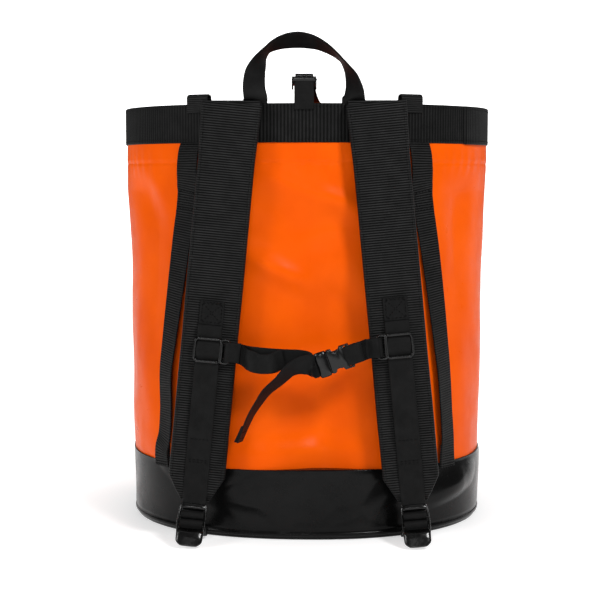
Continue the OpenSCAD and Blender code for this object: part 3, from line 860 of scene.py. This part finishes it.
def strap_half_width(z):
    """Half the strap's width at a height z, which is below the rim."""
    low = -STRAP_LENGTH
    heights = (low, low + 1.2, low + 25, low + 30, -60, 0)
    return np.interp(z, heights, (14.6, 15.4, 28.6, 29, 29, 31))


def make_strap(side):
    k = SIDES[side]
    step = RIB / 5
    drops = -np.arange(0, STRAP_LENGTH + step / 2, step)
    # the section: places across as shares of the half-width, and how far each lies from the bag's side
    front_edge, front_height = np.array([1.0, 0.995, 0.975, 0.94]), [4.2, 6.2, 7.9, 9.0]
    back_edge, back_height = np.array([1.0, 0.98, 0.9]), [2.6, 0.9, 0.15]
    u = np.concatenate([-front_edge, np.linspace(-0.89, 0.89, 25), front_edge[::-1],
                        back_edge, np.linspace(0.7, -0.7, 6), -back_edge[::-1]])
    h = np.concatenate([front_height, np.full(25, STRAP_THICK), front_height[::-1],
                        back_height, np.zeros(6), back_height[::-1]])
    upper = h > 3
    middle = (np.abs(u) < 0.93) & (h > 8)
    rings, uvs = [], []
    for drop, half_width in zip(drops, strap_half_width(drops)):
        down = drop * MM
        wobble = noise.noise(Vector((3.1 * k, 0, down * 14)))
        w = half_width + 0.5 * wobble * min(1, -drop / 80)
        rib = (0.5 + 0.5 * math.cos(2 * math.pi * drop / RIB)) ** 0.7
        dent = 0.7 * noise.noise(Vector((9.0 * k, 1.3, down * 16)))
        lumps = rough(np.stack([u, np.zeros(len(u)), np.full(len(u), down)], -1), (
            (0.9, (1.6, 0, 22), (4 * k, 3, 0)), (0.4, (3, 0, 60), (0, 8, 0)),
        ))
        soft = min(1, -drop / 40)
        depth = h + np.where(upper, (dent + lumps) * 0.55 * soft, 0) - np.where(middle, 0.6 * rib, 0)
        squeeze = np.clip((drop + STRAP_LENGTH) / 9, 0.35, 1)
        over_rim = np.clip(1 + drop / 5, 0, 1)
        depth = 0.6 + (depth - 0.6) * squeeze - np.where(upper, 4.0 * over_rim**2, 0)
        rings.append(np.array([strap_point(side, (w * a, -d, drop)) for a, d in zip(u, depth)]))
        uvs += [(w * a * MM, down) for a in u]
    strap = tube_loft("padded_strap", rings, RIBBED, uvs=uvs)
    out, across = strap_direction(side, (0, -1, 0)), strap_direction(side, (1, 0, 0))
    stitches = []
    for edge in (-1, 1):
        for drop in np.arange(-6, -STRAP_LENGTH + 24, -3.8):
            ends = [(edge * (strap_half_width(z) - 3.6), -STRAP_THICK + 0.05, z) for z in (drop, drop - 2.6)]
            stitches.append((*(strap_point(side, p) for p in ends), across, out))
    piece = join_pieces("shoulder_strap_" + side, [strap, thread_piece("strap_thread", stitches, 0.34 * MM)])
    parts = ["strap_face_" + side, "strap_foam_" + side, "strap_lining_" + side]
    finish_piece(piece, side + "_shoulder", parts)


def make_anchor(side):
    """The flap that carries the strap over the rim and down inside the hem."""
    x = SIDES[side] * STRAP_X
    over = ((-4.2, -5.5), (-4.0, -2), (-2.2, 0.8), (1, 1.6))
    inside = ((-1, 1.3), (4, 1.1), (8, -1.2), (8.9, -8), (8.9, -42))
    points = [(x, STRAP_Y + y * MM, BAG_TOP + z * MM) for y, z in over]
    points += [(x, wall_y(x, BAG_TOP) + y * MM, BAG_TOP + z * MM) for y, z in inside]
    turn = wall_turn(x, BAG_TOP)
    across = [(1, 0, 0)] * 4 + [(math.cos(turn * k), math.sin(turn * k), 0) for k in (0.5, 0.9, 1, 1, 1)]
    flap = strip("strap_flap_" + side, points, across, 57, 2.0, RIBBED, front=(0, -1, 1), rib=(RIB, 0.4),
                 columns=15, stitches=seams(27, 52, 60))
    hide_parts("strap_anchor_" + side)
    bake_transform(flap)


for side in SIDES:
    make_strap(side)
    make_anchor(side)

# ---- rails, sliders, ladder locks and adjusters ----


def make_rail(side):
    top, low = RAIL_TOP[side], RAIL_LOW
    slider = SLIDER_Z[side]
    sewn_top = ((0.4, top), (0.4, top - 8), (0.5, top - 21))
    free = ((-0.6, top - 30), (0, slider + 26), (0.2, slider), (0.4, slider - 26), (0, -320),
            (-0.4, low + 10))
    sewn_low = ((0.6, low), (0.4, low - 10), (0.3, low - 28), (-0.6, -STRAP_LENGTH + 1))
    route = ((STRAP_THICK, sewn_top), (RAIL_DEPTH, free), (STRAP_THICK, sewn_low))
    points = [
        strap_point(side, (0, -depth - off - THICK / 2, z)) for depth, places in route for off, z in places
    ]
    # round the lock's bar
    _, y, z = LOCK_PIVOT
    r = 2.9
    turn = np.radians([-20, -55, -90, -125, -160, -195, -225])
    points += [strap_point(side, (0, y - r * math.cos(a), z + r * math.sin(a))) for a in turn]
    points.append(strap_point(side, (0, y + r * 0.9, z + 6)))
    length = float(np.linalg.norm(np.diff(np.array(points), axis=0), axis=1).sum())

    def narrowing(s):
        return 1 - 0.07 * np.clip((s - length + 34 * MM) / (20 * MM), 0, 1)

    drop = top - low
    stitches = box_tack(20, 3, 22) + seams(10.5, 1.6) + seams(10, drop + 2, drop + 24, drop + 26.5)
    piece = strip("strap_rail_" + side, points, strap_direction(side, (1, 0, 0)), WEBBING, THICK,
                  stitches=stitches, step=1.2, columns=11, narrowing=narrowing)
    finish_piece(piece, side + "_shoulder", ["rail_" + side])


def make_slider(side):
    """Sliding frame with two bars, a loop for the sternum webbing, two ends and a bar behind the rail."""
    across, out = strap_direction(side, (1, 0, 0)), strap_direction(side, (0, -1, 0))
    depth = SLIDER_DEPTH + 1.3
    w, h = 27.4, 23.2

    def bar(line, size, up=out, **shape):
        places = [strap_point(side, (x, -y, SLIDER_Z[side] + z)) for x, y, z in line]
        return bar_piece(places, size, up, **shape)

    frame_line = [(x, depth, z) for x, z in rounded_outline(w, h, 4.5, 7)]
    parts = [bar(frame_line, (2.5, 2.7), closed=True, power=2.6)]
    for z in (h / 2, -h / 2):
        parts.append(bar([(x, depth + 0.35, z) for x in np.linspace(-11.5, 11.5, 9)], (3.1, 3.0), power=2.3))
    loop_x = -SIDES[side] * 16.9
    loop = [(loop_x + x, depth - 0.1, z) for x, z in rounded_outline(9.2, 23.8, 3.2, 6)]
    parts.append(bar(loop, (2.3, 2.4), closed=True, power=2.6))
    for x in (-14.4, 14.4):
        parts.append(bar([(x, y, 0) for y in np.linspace(STRAP_THICK + 0.8, depth, 6)], (7.5, 2.1), across))
    parts.append(bar([(x, STRAP_THICK + 1.7, 0) for x in np.linspace(-14.6, 14.6, 9)], (5, 2.0)))
    slider = join_pieces("slider_frame_" + side, parts)
    finish_piece(slider, side + "_slider", ["slider_" + side])
    # the rail webbing bulges over the middle bar
    bulge = ((1.0, -11.4), (1.7, -9), (3.4, -4.5), (4.0, 0), (3.4, 4.5), (1.7, 9), (1.0, 11.4))
    points = [strap_point(side, (0, -RAIL_DEPTH - y, SLIDER_Z[side] + z)) for y, z in bulge]
    piece = strip("slider_webbing_" + side, points, across, WEBBING - 0.6, 1.3, step=1.0, columns=11)
    finish_piece(piece, side + "_slider")


def tongue_rings(place):
    """The lift tongue: a plate with round corners whose upper lip dips and curls outward."""
    rings = []
    for t in np.linspace(0, 1, 27):
        half_width = 14.2 - 0.9 * t - 4.6 * max(0, (t - 0.66) / 0.34) ** 2.4
        swell = math.sin(min(1, t / 0.3) * math.pi / 2)
        y = -1.7 - 2.4 * swell + 1.6 * t
        thick = 1.2 + 1.3 * swell - 1.2 * max(0, t - 0.55) / 0.45
        ring = []
        for a in np.linspace(0, 2 * math.pi, 32, endpoint=False):
            x = math.copysign(abs(math.cos(a)) ** 0.35, math.cos(a)) * half_width
            out = math.copysign(abs(math.sin(a)) ** 0.8, math.sin(a)) * thick
            middle = 1 - (x / 14.4) ** 2
            z = -24.2 - 19.6 * t - 3.4 * middle * (1 - t) ** 2 + 0.9 * (1 - middle) * t**4
            ring.append(place(x, y - out - 0.8 * middle * swell, z))
        rings.append(np.array(ring))
    return rings


def make_lock(side):
    """Ladder lock: two cheeks, three bars and a lift tongue, hanging from the rail's end loop."""
    def at(x, y, z):
        return strap_point(side, np.array(LOCK_PIVOT) + turn_x(STRAP_LEAN - LOCK_TILT, (x, y, z)))

    def way(v):
        return strap_direction(side, turn_x(STRAP_LEAN - LOCK_TILT, v))

    out, right = way((0, -1, 0)), way((1, 0, 0))
    cheek = ((11.9, -2.6, 2.2), (12.7, -2.2, 0.4), (13.3, -1.6, -6), (13.7, -1.5, -14), (13.7, -1.7, -22),
             (13.2, -1.9, -28))
    parts = []
    for end in (-1, 1):
        line = curve_points([at(end * x, y, z) for x, y, z in cheek], 1.5 * MM)[0]
        parts.append(bar_piece(line, (5.8, 2.2), right))
    for y, z, size in ((0, 0, (3.9, 3.9)), (-1.4, -9.5, (3.6, 3.4)), (-0.6, -18, (3.9, 3.8))):
        parts.append(bar_piece([at(x, y, z) for x in np.linspace(-13.3, 13.3, 9)], size, out, power=2.2))
    # glossy bar that joins the cheeks at the top, in front of the webbing
    half_bar = 12.6
    line = []
    for x in np.linspace(-half_bar, half_bar, 21):
        bow = abs(x / half_bar) ** 4
        line.append(at(x, -3.4 + 1.2 * bow, -0.4 - 0.6 * bow))
    parts.append(bar_piece(line, (6.2, 4.6), out, power=2.2))
    parts.append(tube_loft("tongue", tongue_rings(at), PLASTIC))
    lock = join_pieces("ladder_lock_body_" + side, parts)
    finish_piece(lock, side + "_lock", ["ladder_lock_" + side])
    # webbing through the lock
    route = (
        (2.6, -27.5), (1.6, -23.6), (-1.8, -21), (-3.5, -18.4), (-2.8, -15.8), (0.9, -14.2), (1.2, -13.4),
        (-2.6, -12), (-4.3, -9.6), (-3.6, -7.0), (0.2, -5.4), (2.8, -7.4), (3.4, -12), (3.5, -20), (3.2, -26),
    )
    threaded = strip("lock_webbing_" + side, [at(0, y, z) for y, z in route], right, 24, 1.7,
                     front=out, step=0.9, columns=11)
    finish_piece(threaded, side + "_lock")


def make_adjuster(side):
    x, z = SIDES[side] * 113 * MM, 14 * MM
    along = wall_along(x, z)
    foot = off_wall(x, z, 3.6 * MM)
    points = [foot + mm(0, -0.4, 6), foot, foot + mm(0, -3.2, -5.5)]
    free = ((-166, 3.6), (-175, 4.6), (-183, 9.5), (-189, 15.5), (-193, 21))
    points += [(x, y * MM, height * MM) for y, height in free]
    across = [along, along, along + [1, 0, 0]] + [(1, 0, 0)] * 5
    piece = strip("adjuster_webbing_" + side, points, across, WEBBING, 1.7, front=(0, -0.5, -1), step=1.8,
                  columns=11, stitches=seams(10, 2, 5))
    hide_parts("adjuster_" + side)
    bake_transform(piece)


for side in SIDES:
    make_rail(side)
    make_slider(side)
    make_lock(side)
    make_adjuster(side)

# ---- side webbing and rim loops ----

# Height, distance from the middle and distance off the wall, in millimetres.
SIDE_ROUTE = (
    (409, 117.5, 1.0), (408.4, 117.5, 2.2), (399, 117.5, 6.5), (383, 117.5, 9), (367, 119, 6),
    (357, 121, 2.4), (337, 123.5, 1.9), (328, 124.6, 2.6), (304, 127.8, 3.5), (260, 133, 4.6),
    (204, 140, 4.8), (168, 144, 4.8), (127, 147, 4.6), (100, 149, 4.2), (84, 149.3, 3.7), (67, 149.4, 3.4),
)
SIDE_FOLD = ((92, 148.6, 2.4), (84, 148.8, 2.0), (72, 149, 1.9), (66, 149, 2.0))


def make_side_webbing(side):
    k = SIDES[side]
    points, across = [], []
    for z, x, off in SIDE_ROUTE:
        if side == "left":
            x -= float(np.interp(z, [84, 104, 127, 168], [0, 4.5, 3.5, 0]))
        x, height = k * x * MM, z * MM
        points.append(off_wall(x, height, off * MM + 0.4 * fold_here(x, height)))
        # the free length hangs a little more edge-on than the wall behind it
        edge_on = float(np.interp(z, [67, 110, 160, 300, 340], [4, 14, 14, 3, 0]))
        a = wall_turn(x, height) + k * math.radians(edge_on)
        across.append((math.cos(a), math.sin(a), 0))
    free = strip("side_webbing_strip_" + side, points, across, WEBBING, THICK + 0.3, RIBBED, rib=(2.6, 0.6),
                 stitches=box_tack(19, 53, 72) + seams(10, 344, 347, 335, 3))
    # second layer where the end is folded under and sewn
    fold = [off_wall(k * x * MM, z * MM, off * MM) for z, x, off in SIDE_FOLD]
    under = strip("fold", fold, across[-4:], WEBBING, 1.6, RIBBED, rib=(2.6, 0.4))
    piece = join_pieces("side_webbing_piece_" + side, [free, under])
    finish_piece(piece, "bag", ["side_webbing_" + side])


def make_rim_loop(side):
    x = SIDES[side] * 110 * MM
    out = wall_normal(x, BAG_TOP)
    base = np.array([x, wall_y(x, BAG_TOP), BAG_TOP])
    profile = ((2.9, -9), (2.8, -4), (2.4, 0.5), (2.6, 3.6), (2.2, 7.2), (0.2, 9.2), (-2.2, 9.3), (-4.6, 8.2),
               (-5.6, 4), (-5.6, 0), (-5.5, -10), (-5.5, -24))
    points = [base + out * off * MM + mm(0, 0, z) for off, z in profile]
    piece = strip("rim_loop_strip_" + side, points, wall_along(x, BAG_TOP), WEBBING, THICK, RIBBED, front=out,
                  rib=(2.0, 0.42), stitches=seams(11, 3, 5.2))
    finish_piece(piece, "bag", ["rim_loop_" + side])


for side in SIDES:
    make_side_webbing(side)
    make_rim_loop(side)

# ---- handle ----

# Outer and inner edge as seen from the back, in millimetres: x, height above the rim, x, height.
HANDLE_EDGES = (
    (-61.7, 5, -37.6, 4.3), (-62.4, 17.7, -39.9, 14), (-60, 32.3, -40.3, 26.8),
    (-54.5, 41.4, -39.6, 35.9), (-47.2, 48.7, -38.8, 46), (-36.3, 58.2, -36.8, 51.3),
    (-25.3, 66.1, -25.3, 55.1), (-16.2, 69.7, -14.4, 56.4), (-7.1, 71, -5.2, 56.6),
    (2, 69.7, 3.9, 56), (11.2, 66.1, 14.8, 54.2), (20.3, 60.6, 24.9, 50.2),
    (29.4, 53.3, 33.1, 45.8), (37.7, 45.4, 38.6, 41.1), (45.9, 37.4, 41.9, 32.3),
    (53.2, 29.6, 42.9, 23.2), (57.7, 21.3, 42.9, 15), (60.5, 14, 41.8, 9),
    (62, 5, 39.8, 4.3),
)


def make_handle():
    """Grab handle: the part of its width that isn't seen from the back runs into the depth."""
    y0 = -RIM_HALF[1] + 3 * MM

    def sewn_end(x, way):
        """Places inside the hem, from the rim down, and which way the width lies there."""
        places = [(x * MM, BAG_TOP + z * MM, off * MM) for off, z in ((-1.5, 1), (-5.2, -12), (-5.6, -44))]
        return [off_wall(*p) for p in places], [way * wall_along(px, pz) for px, pz, _ in places]

    points, across = [], []
    for x0, z0, x1, z1 in HANDLE_EDGES:
        points.append(((x0 + x1) / 2 * MM, y0, BAG_TOP + (z0 + z1) / 2 * MM))
        wide = np.array([x1 - x0, z1 - z0]) / WEBBING
        across.append((wide[0], math.sqrt(max(0, 1 - wide @ wide)), wide[1]))
    (left, left_across), (right, right_across) = sewn_end(-50.5, 1), sewn_end(51, -1)
    piece = strip("grab_handle", left[::-1] + points + right, left_across[::-1] + across + right_across,
                  WEBBING, THICK, front=(0, 0.5, 1), step=1.4, columns=13)
    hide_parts("handle", "handle_ends")
    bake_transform(piece)


make_handle()

# ---- side-release buckles: their frames are in millimetres, x along the buckle and z out of its face ----


def buckle_block(outline, low, high, place, bevel):
    """A prism with rounded edges from an outline in the buckle's frame."""
    points = np.asarray(outline, float)
    edges = ((1, low), (0.35, low + bevel * 0.3), (0, low + bevel),
             (0, high - bevel), (0.35, high - bevel * 0.3), (1, high))
    t = np.roll(points, -1, 0) - np.roll(points, 1, 0)
    t /= np.maximum(np.linalg.norm(t, axis=1), 1e-6)[:, None]
    outward = np.stack([t[:, 1], -t[:, 0]], -1)
    rings = []
    for inset, z in edges:
        rings.append(np.array([place((x, y, z)) for x, y in points - outward * bevel * inset]))
    return tube_loft("block", rings, PLASTIC)


def smooth_outline(points):
    """The outline with its corners cut twice."""
    p = np.array(points, float)
    for _ in range(2):
        q = np.roll(p, -1, 0)
        p = np.stack([p * 0.75 + q * 0.25, p * 0.25 + q * 0.75], 1).reshape(-1, 2)
    return p


def in_frame(place):
    """A function that makes bars from lines in a buckle's frame; up is the direction of their height."""
    def bar(line, size, power=3.0, up=(0, 0, 1)):
        return bar_piece([place(p) for p in line], size, place(up) - place((0, 0, 0)), power)
    return bar


def make_female(name, place, node, body, cheeks=False):
    """Housing with side windows, a claw-shaped mouth and a webbing bar."""
    bar = in_frame(place)
    claw = [(4.4, 12.4), (6.0, 8.7), (9, 8.0), (11.8, 8.7), (13.4, 11.6), (17.3, 11)]
    outline = [(0, -12.4)] + [(x, -y) for x, y in claw] + [(17.4, 0)] + claw[::-1] + [(0, 12.4), (0.5, 0)]
    faces = ((-4, -2.55), (2.55, 4))
    parts = [buckle_block(smooth_outline(outline), low, high, place, 0.5) for low, high in faces]
    for y in (-11.5, 11.5):
        parts.append(bar([(x, y, 0) for x in (0.4, 1.6, 2.8, 3.9)], (1.7, 6.6), 4))
        parts.append(bar([(x, y, 0) for x in (13.6, 15, 18, 21, 23.6)], (1.9, 7.4), 4))
    parts.append(bar([(17.0, y, 0) for y in np.linspace(-11.8, 11.8, 9)], (3.0, 7.4), 4))
    parts.append(bar([(WEBBING_BAR_X, y, 0) for y in np.linspace(-11.8, 11.8, 9)], (3.0, 2.8), 2.4))
    if cheeks:
        # cover roll over the webbing bar, its ears, and the raised back of the housing
        ear = ((25.2, 1.6), (25.0, -2), (24.2, -5), (22.6, -8.2))
        for y in (-11.8, 11.8):
            parts.append(bar([(x, y, z) for x, z in ear], (5.0, 1.9), up=(0, 1, 0)))
        parts.append(bar([(26.0, y, 1.6) for y in np.linspace(-12.4, 12.4, 13)], (3.2, 5.0), 2.3))
        parts.append(bar([(13, y, 5.6) for y in np.linspace(-9.2, 9.2, 11)], (5, 4.4)))
    finish_piece(join_pieces(name, parts), body, [node])


def make_male(name, place, node, body):
    """Base with two slots for webbing, two springy prongs and a guide between them."""
    bar = in_frame(place)
    prong = [(-1.2, 6.9), (3, 6.8), (9, 7.1), (13.2, 7.9), (14.1, 8.8), (12.6, 9.5), (10.6, 10.1), (10, 9.4),
             (6, 9.3), (-1.2, 9.7)]
    parts = []
    for k in (-1, 1):
        parts.append(bar([(x, k * 11.4, 0) for x in (-12.2, -9, -5, -1)], (2.0, 6), 4))
        outline = [(x, k * y) for x, y in prong[::k]]
        parts.append(buckle_block(outline, -2, 2, place, 0.4))
    for x, size in ((-0.8, (3.6, 4.8)), (-6.4, (2.8, 4.2)), (-11.7, (1.9, 5.6))):
        parts.append(bar([(x, y, 0) for y in np.linspace(-11.6, 11.6, 11)], size))
    parts.append(bar([(x, 0, 0) for x in (-1.2, 4, 8, 11.6)], (3.4, 3)))
    # convex cover over the adjuster slots, which catches the light
    edge = 12.2
    cover = [(-6.6, y, 3.0 - 1.4 * abs(y / edge) ** 6) for y in np.linspace(-edge, edge, 25)]
    parts.append(bar(cover, (11.4, 4.2), 2.3))
    finish_piece(join_pieces(name, parts), body, [node])


make_female("sternum_housing", sternum_point, "sternum_buckle_female", "right_slider")
make_male("sternum_plug", sternum_point, "sternum_buckle_male", "sternum_male")
make_female("closure_housing", closure_point, "closure_buckle_female", "bag", cheeks=True)
make_male("closure_plug", closure_point, "closure_buckle_male", "closure_male")

# ---- sternum strap ----


def side_fold(side):
    """Points of the fold round a slider's side bar, from behind it to its front."""
    k = SIDES[side]
    x, y = -k * SIDE_BAR_X, SLIDER_DEPTH + 1.3
    r = 2.9
    points = [(x - k * 13, y - 2.0), (x - k * 6, y - 2.7)]
    turn = np.radians([90, 55, 20, -20, -55, -90])
    points += [(x + k * r * math.cos(a), y - r * math.sin(a)) for a in turn]
    points += [(x - k * 6, y + 2.4), (x - k * 13, y + 1.6)]
    return [strap_point(side, (px, -py, SLIDER_Z[side])) for px, py in points]


def make_sternum_left(tilted):
    """A loop sewn round the left slider's bar, and two layers of webbing from there to the male half."""
    upright = strap_direction("left", (0, 0, 1))
    fold = side_fold("left")
    loop = strip("sternum_loop_left", fold, upright, NARROW, 1.5, step=0.8,
                 stitches=seams(8.5, 28, 30.2), pitch=2.6)
    finish_piece(loop, "left_slider")

    def web(name, points, wide, replaced=()):
        piece = strip(name, points, wide, NARROW, 1.4, step=1.2, columns=11)
        if replaced:
            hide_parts(*replaced)
        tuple(points[1])
        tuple(points[-1])
        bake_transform(piece)

    half_way = mm(-20.5, -200.5, 191.3)
    taut = [fold[-2] + mm(0, 2.6, -0.2), fold[-1] + mm(0, 2.4, -0.8), mm(-52, -200.5, 194),
            mm(-36, -200.3, 192.2), mm(-28, -200.4, 191.7), half_way]
    wide = [upright, upright, (0, -0.05, 1), (0, 0, 1), (0, 0, 1), (-0.02, 0, 1)]
    web("sternum_web_taut", taut, wide)
    slack = [fold[-2] + mm(0, 1.2, 0), fold[-1] + mm(0, 0.8, -1), mm(-56, -204.8, 191.2),
             mm(-46, -208.6, 187.6), mm(-35, -209, 187), mm(-29, -206.6, 188.2), mm(-24.5, -203.8, 190.2),
             half_way + mm(1, -1.7, 0)]
    wide = [upright, upright, (0, 0.1, 1), (0.03, 0.3, 1), (0, 0.35, 1), (-0.05, 0.2, 1), (0, 0.05, 1),
            (0, 0, 1)]
    web("sternum_web_slack_layer", slack, wide)
    far = [half_way + mm(-0.5, 0, 0), mm(-12, -200.5, 191), mm(-4, -200.6, 190.6), mm(4, -201, 188.8)]
    far += [sternum_point(p) for p in ((-17.5, 0.6, 0.6), (-13.2, 0.4, 0.4), (-9, 0, -0.6))]
    wide = [(-0.02, 0, 1), (-0.04, 0, 1), (-0.1, 0, 1), (-0.22, 0, 1), tilted, tilted, tilted]
    web("sternum_web_far", far, wide, ["sternum_webbing_left"])


# The loose end, in millimetres: places from the buckle down, and which way its width lies there.
TAIL_ROUTE = (
    (8.5, -210.5, 186.2), (0.5, -213, 186.6), (-6, -213.2, 185), (-13.5, -212.5, 180.8),
    (-23.3, -211.5, 171), (-36.6, -210, 159.2), (-43.8, -208.5, 149), (-51.8, -207, 136.3),
    (-58, -206, 122.8), (-61.8, -205.6, 113.3), (-64.2, -205.4, 107.5),
)
TAIL_ACROSS = (
    (-0.3, -0.05, 0.95), (-0.3, -0.25, 0.9), (-0.36, -0.5, 0.78), (-0.42, -0.72, 0.56),
    (-0.42, -0.82, 0.37), (-0.34, -0.88, 0.32), (-0.31, -0.92, 0.23), (-0.27, -0.95, 0.16),
    (-0.24, -0.96, 0.1), (-0.22, -0.97, 0.08), (-0.22, -0.97, 0.07),
)


def make_sternum_tail(tilted):
    """Loose end of the sternum strap, whose tip is folded and sewn."""
    tail = [sternum_point(p) for p in ((-8.4, -0.4, 1.0), (-12.6, -0.6, 2.2), (-16, -0.8, 5.0))]
    tail += [mm(*p) for p in TAIL_ROUTE]
    wide = [tilted] * 3 + list(TAIL_ACROSS)
    loose = strip("sternum_loose_end", tail, wide, NARROW, 1.5, front=(0.4, -1, -0.6), step=1.4, columns=11,
                  stitches=seams(8, 117, 124))
    tip = [tail[-1], tail[-2], (tail[-2] + tail[-3]) / 2, tail[-3] + mm(0.4, 0, 0.6)]
    tip = [p + mm(-1.5, 0.6, 0.5) for p in tip]
    folded = strip("tip", tip, wide[-4:], NARROW, 2.2, front=(0.4, -1, -0.6), step=1.2)
    piece = join_pieces("sternum_tail_piece", [loose, folded])
    finish_piece(piece, "sternum_male", ["sternum_tail"])


def make_sternum_right(tilted):
    """Two layers from the female half's bar to the right slider's bar."""
    upright = strap_direction("right", (0, 0, 1))
    fold = side_fold("right")

    def near(x, z):
        return sternum_point((WEBBING_BAR_X + x, 0, z))

    over_bar = ((-6.4, 2.6), (-3.0, 3.5), (0.6, 3.3), (5, 3.1), (12, 2.6))
    front = [near(x, z) for x, z in over_bar] + fold[:-4:-1]
    front_across = [tilted] * 4 + [tilted * 0.7 + upright * 0.3] + [upright] * 3
    r = 2.5 * 1.05
    back = [near(-r * math.cos(a), r * math.sin(a)) for a in np.radians([75, 40, 0, -40, -75])]
    back += [near(5, -2.6)] + fold[1:8]
    layers = [
        strip("sternum_webbing_front", front, front_across, NARROW, 1.5, step=1.0, columns=11,
              stitches=seams(8.5, 18, 20.3), pitch=2.6),
        strip("sternum_webbing_back", back, [tilted] * 6 + [upright] * 7, NARROW, 1.5, step=0.9),
    ]
    piece = join_pieces("sternum_right_piece", layers)
    finish_piece(piece, "right_slider", ["sternum_webbing_right"])


sternum_up = turn_y(-STERNUM_TILT, (0, 0, 1))
make_sternum_left(sternum_up)
make_sternum_tail(sternum_up)
make_sternum_right(sternum_up)

# ---- top tab and closure strap ----

# From behind the mouth to the far side of the rim and down inside the hem, in millimetres.
CLOSURE_ROUTE = (
    (0.2, -123, 475.5), (0.5, -116, 472.5), (1.5, -104, 464), (4.5, -82, 455.8), (8, -48, 452.6),
    (9.5, -10, 451.6), (10, 40, 451), (10, 100, 451.2), (9, 140, 451.8), (8.6, 158, 452.8),
    (8.5, 164.5, 452.2), (8.5, 167.6, 449), (8.5, 167.6, 439), (8.5, 167.4, 427),
)


def make_closure():
    y_out, y_in = -RIM_HALF[1] - 3.0 * MM, -RIM_HALF[1] + 5.4 * MM

    def beside_rim(y, places):
        return [(0, y + off * MM, BAG_TOP + z * MM) for off, z in places]

    def round_bar(y, z):
        return (0, CLOSURE_BAR[1] + y * MM, CLOSURE_BAR[2] + z * MM)

    r = 3.1
    points = beside_rim(y_out, ((0, -6.5), (0, -1), (-0.4, 4), (0, 9)))
    points.append(round_bar(-3.4, -5))
    points += [round_bar(r * math.cos(a), r * math.sin(a)) for a in np.radians([180, 140, 90, 40, 0])]
    points.append(round_bar(3.4, -5))
    points += beside_rim(y_in, ((-1.4, 10), (-0.2, 3), (0, -4), (0, -21)))
    tab = strip("closure_tab_strip", points, (1, 0, 0), NARROW, THICK, step=1.1, columns=11,
                stitches=seams(8.5, 1.6, 3.6, 14.4), pitch=2.6)
    finish_piece(tab, "bag", ["closure_tab"])

    through_slots = ((-3.6, -1), (-3.8, 2.6), (-6.4, 3.3), (-9.2, 2.2), (-9.6, -0.5), (-12, -3.2))
    route = [closure_point((x, 0, z)) for x, z in through_slots] + [mm(*p) for p in CLOSURE_ROUTE]
    piece = strip("closure_strap_strip", route, (1, 0, 0), NARROW, 1.5, front=(0, 0, 1), step=1.6, columns=11)
    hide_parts("closure_strap")
    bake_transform(piece)


make_closure()

# ---- material of the CAD piece that stays shown ----

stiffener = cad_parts["rim_stiffener"]
stiffener.data.materials.clear()
stiffener.data.materials.append(PLASTIC)
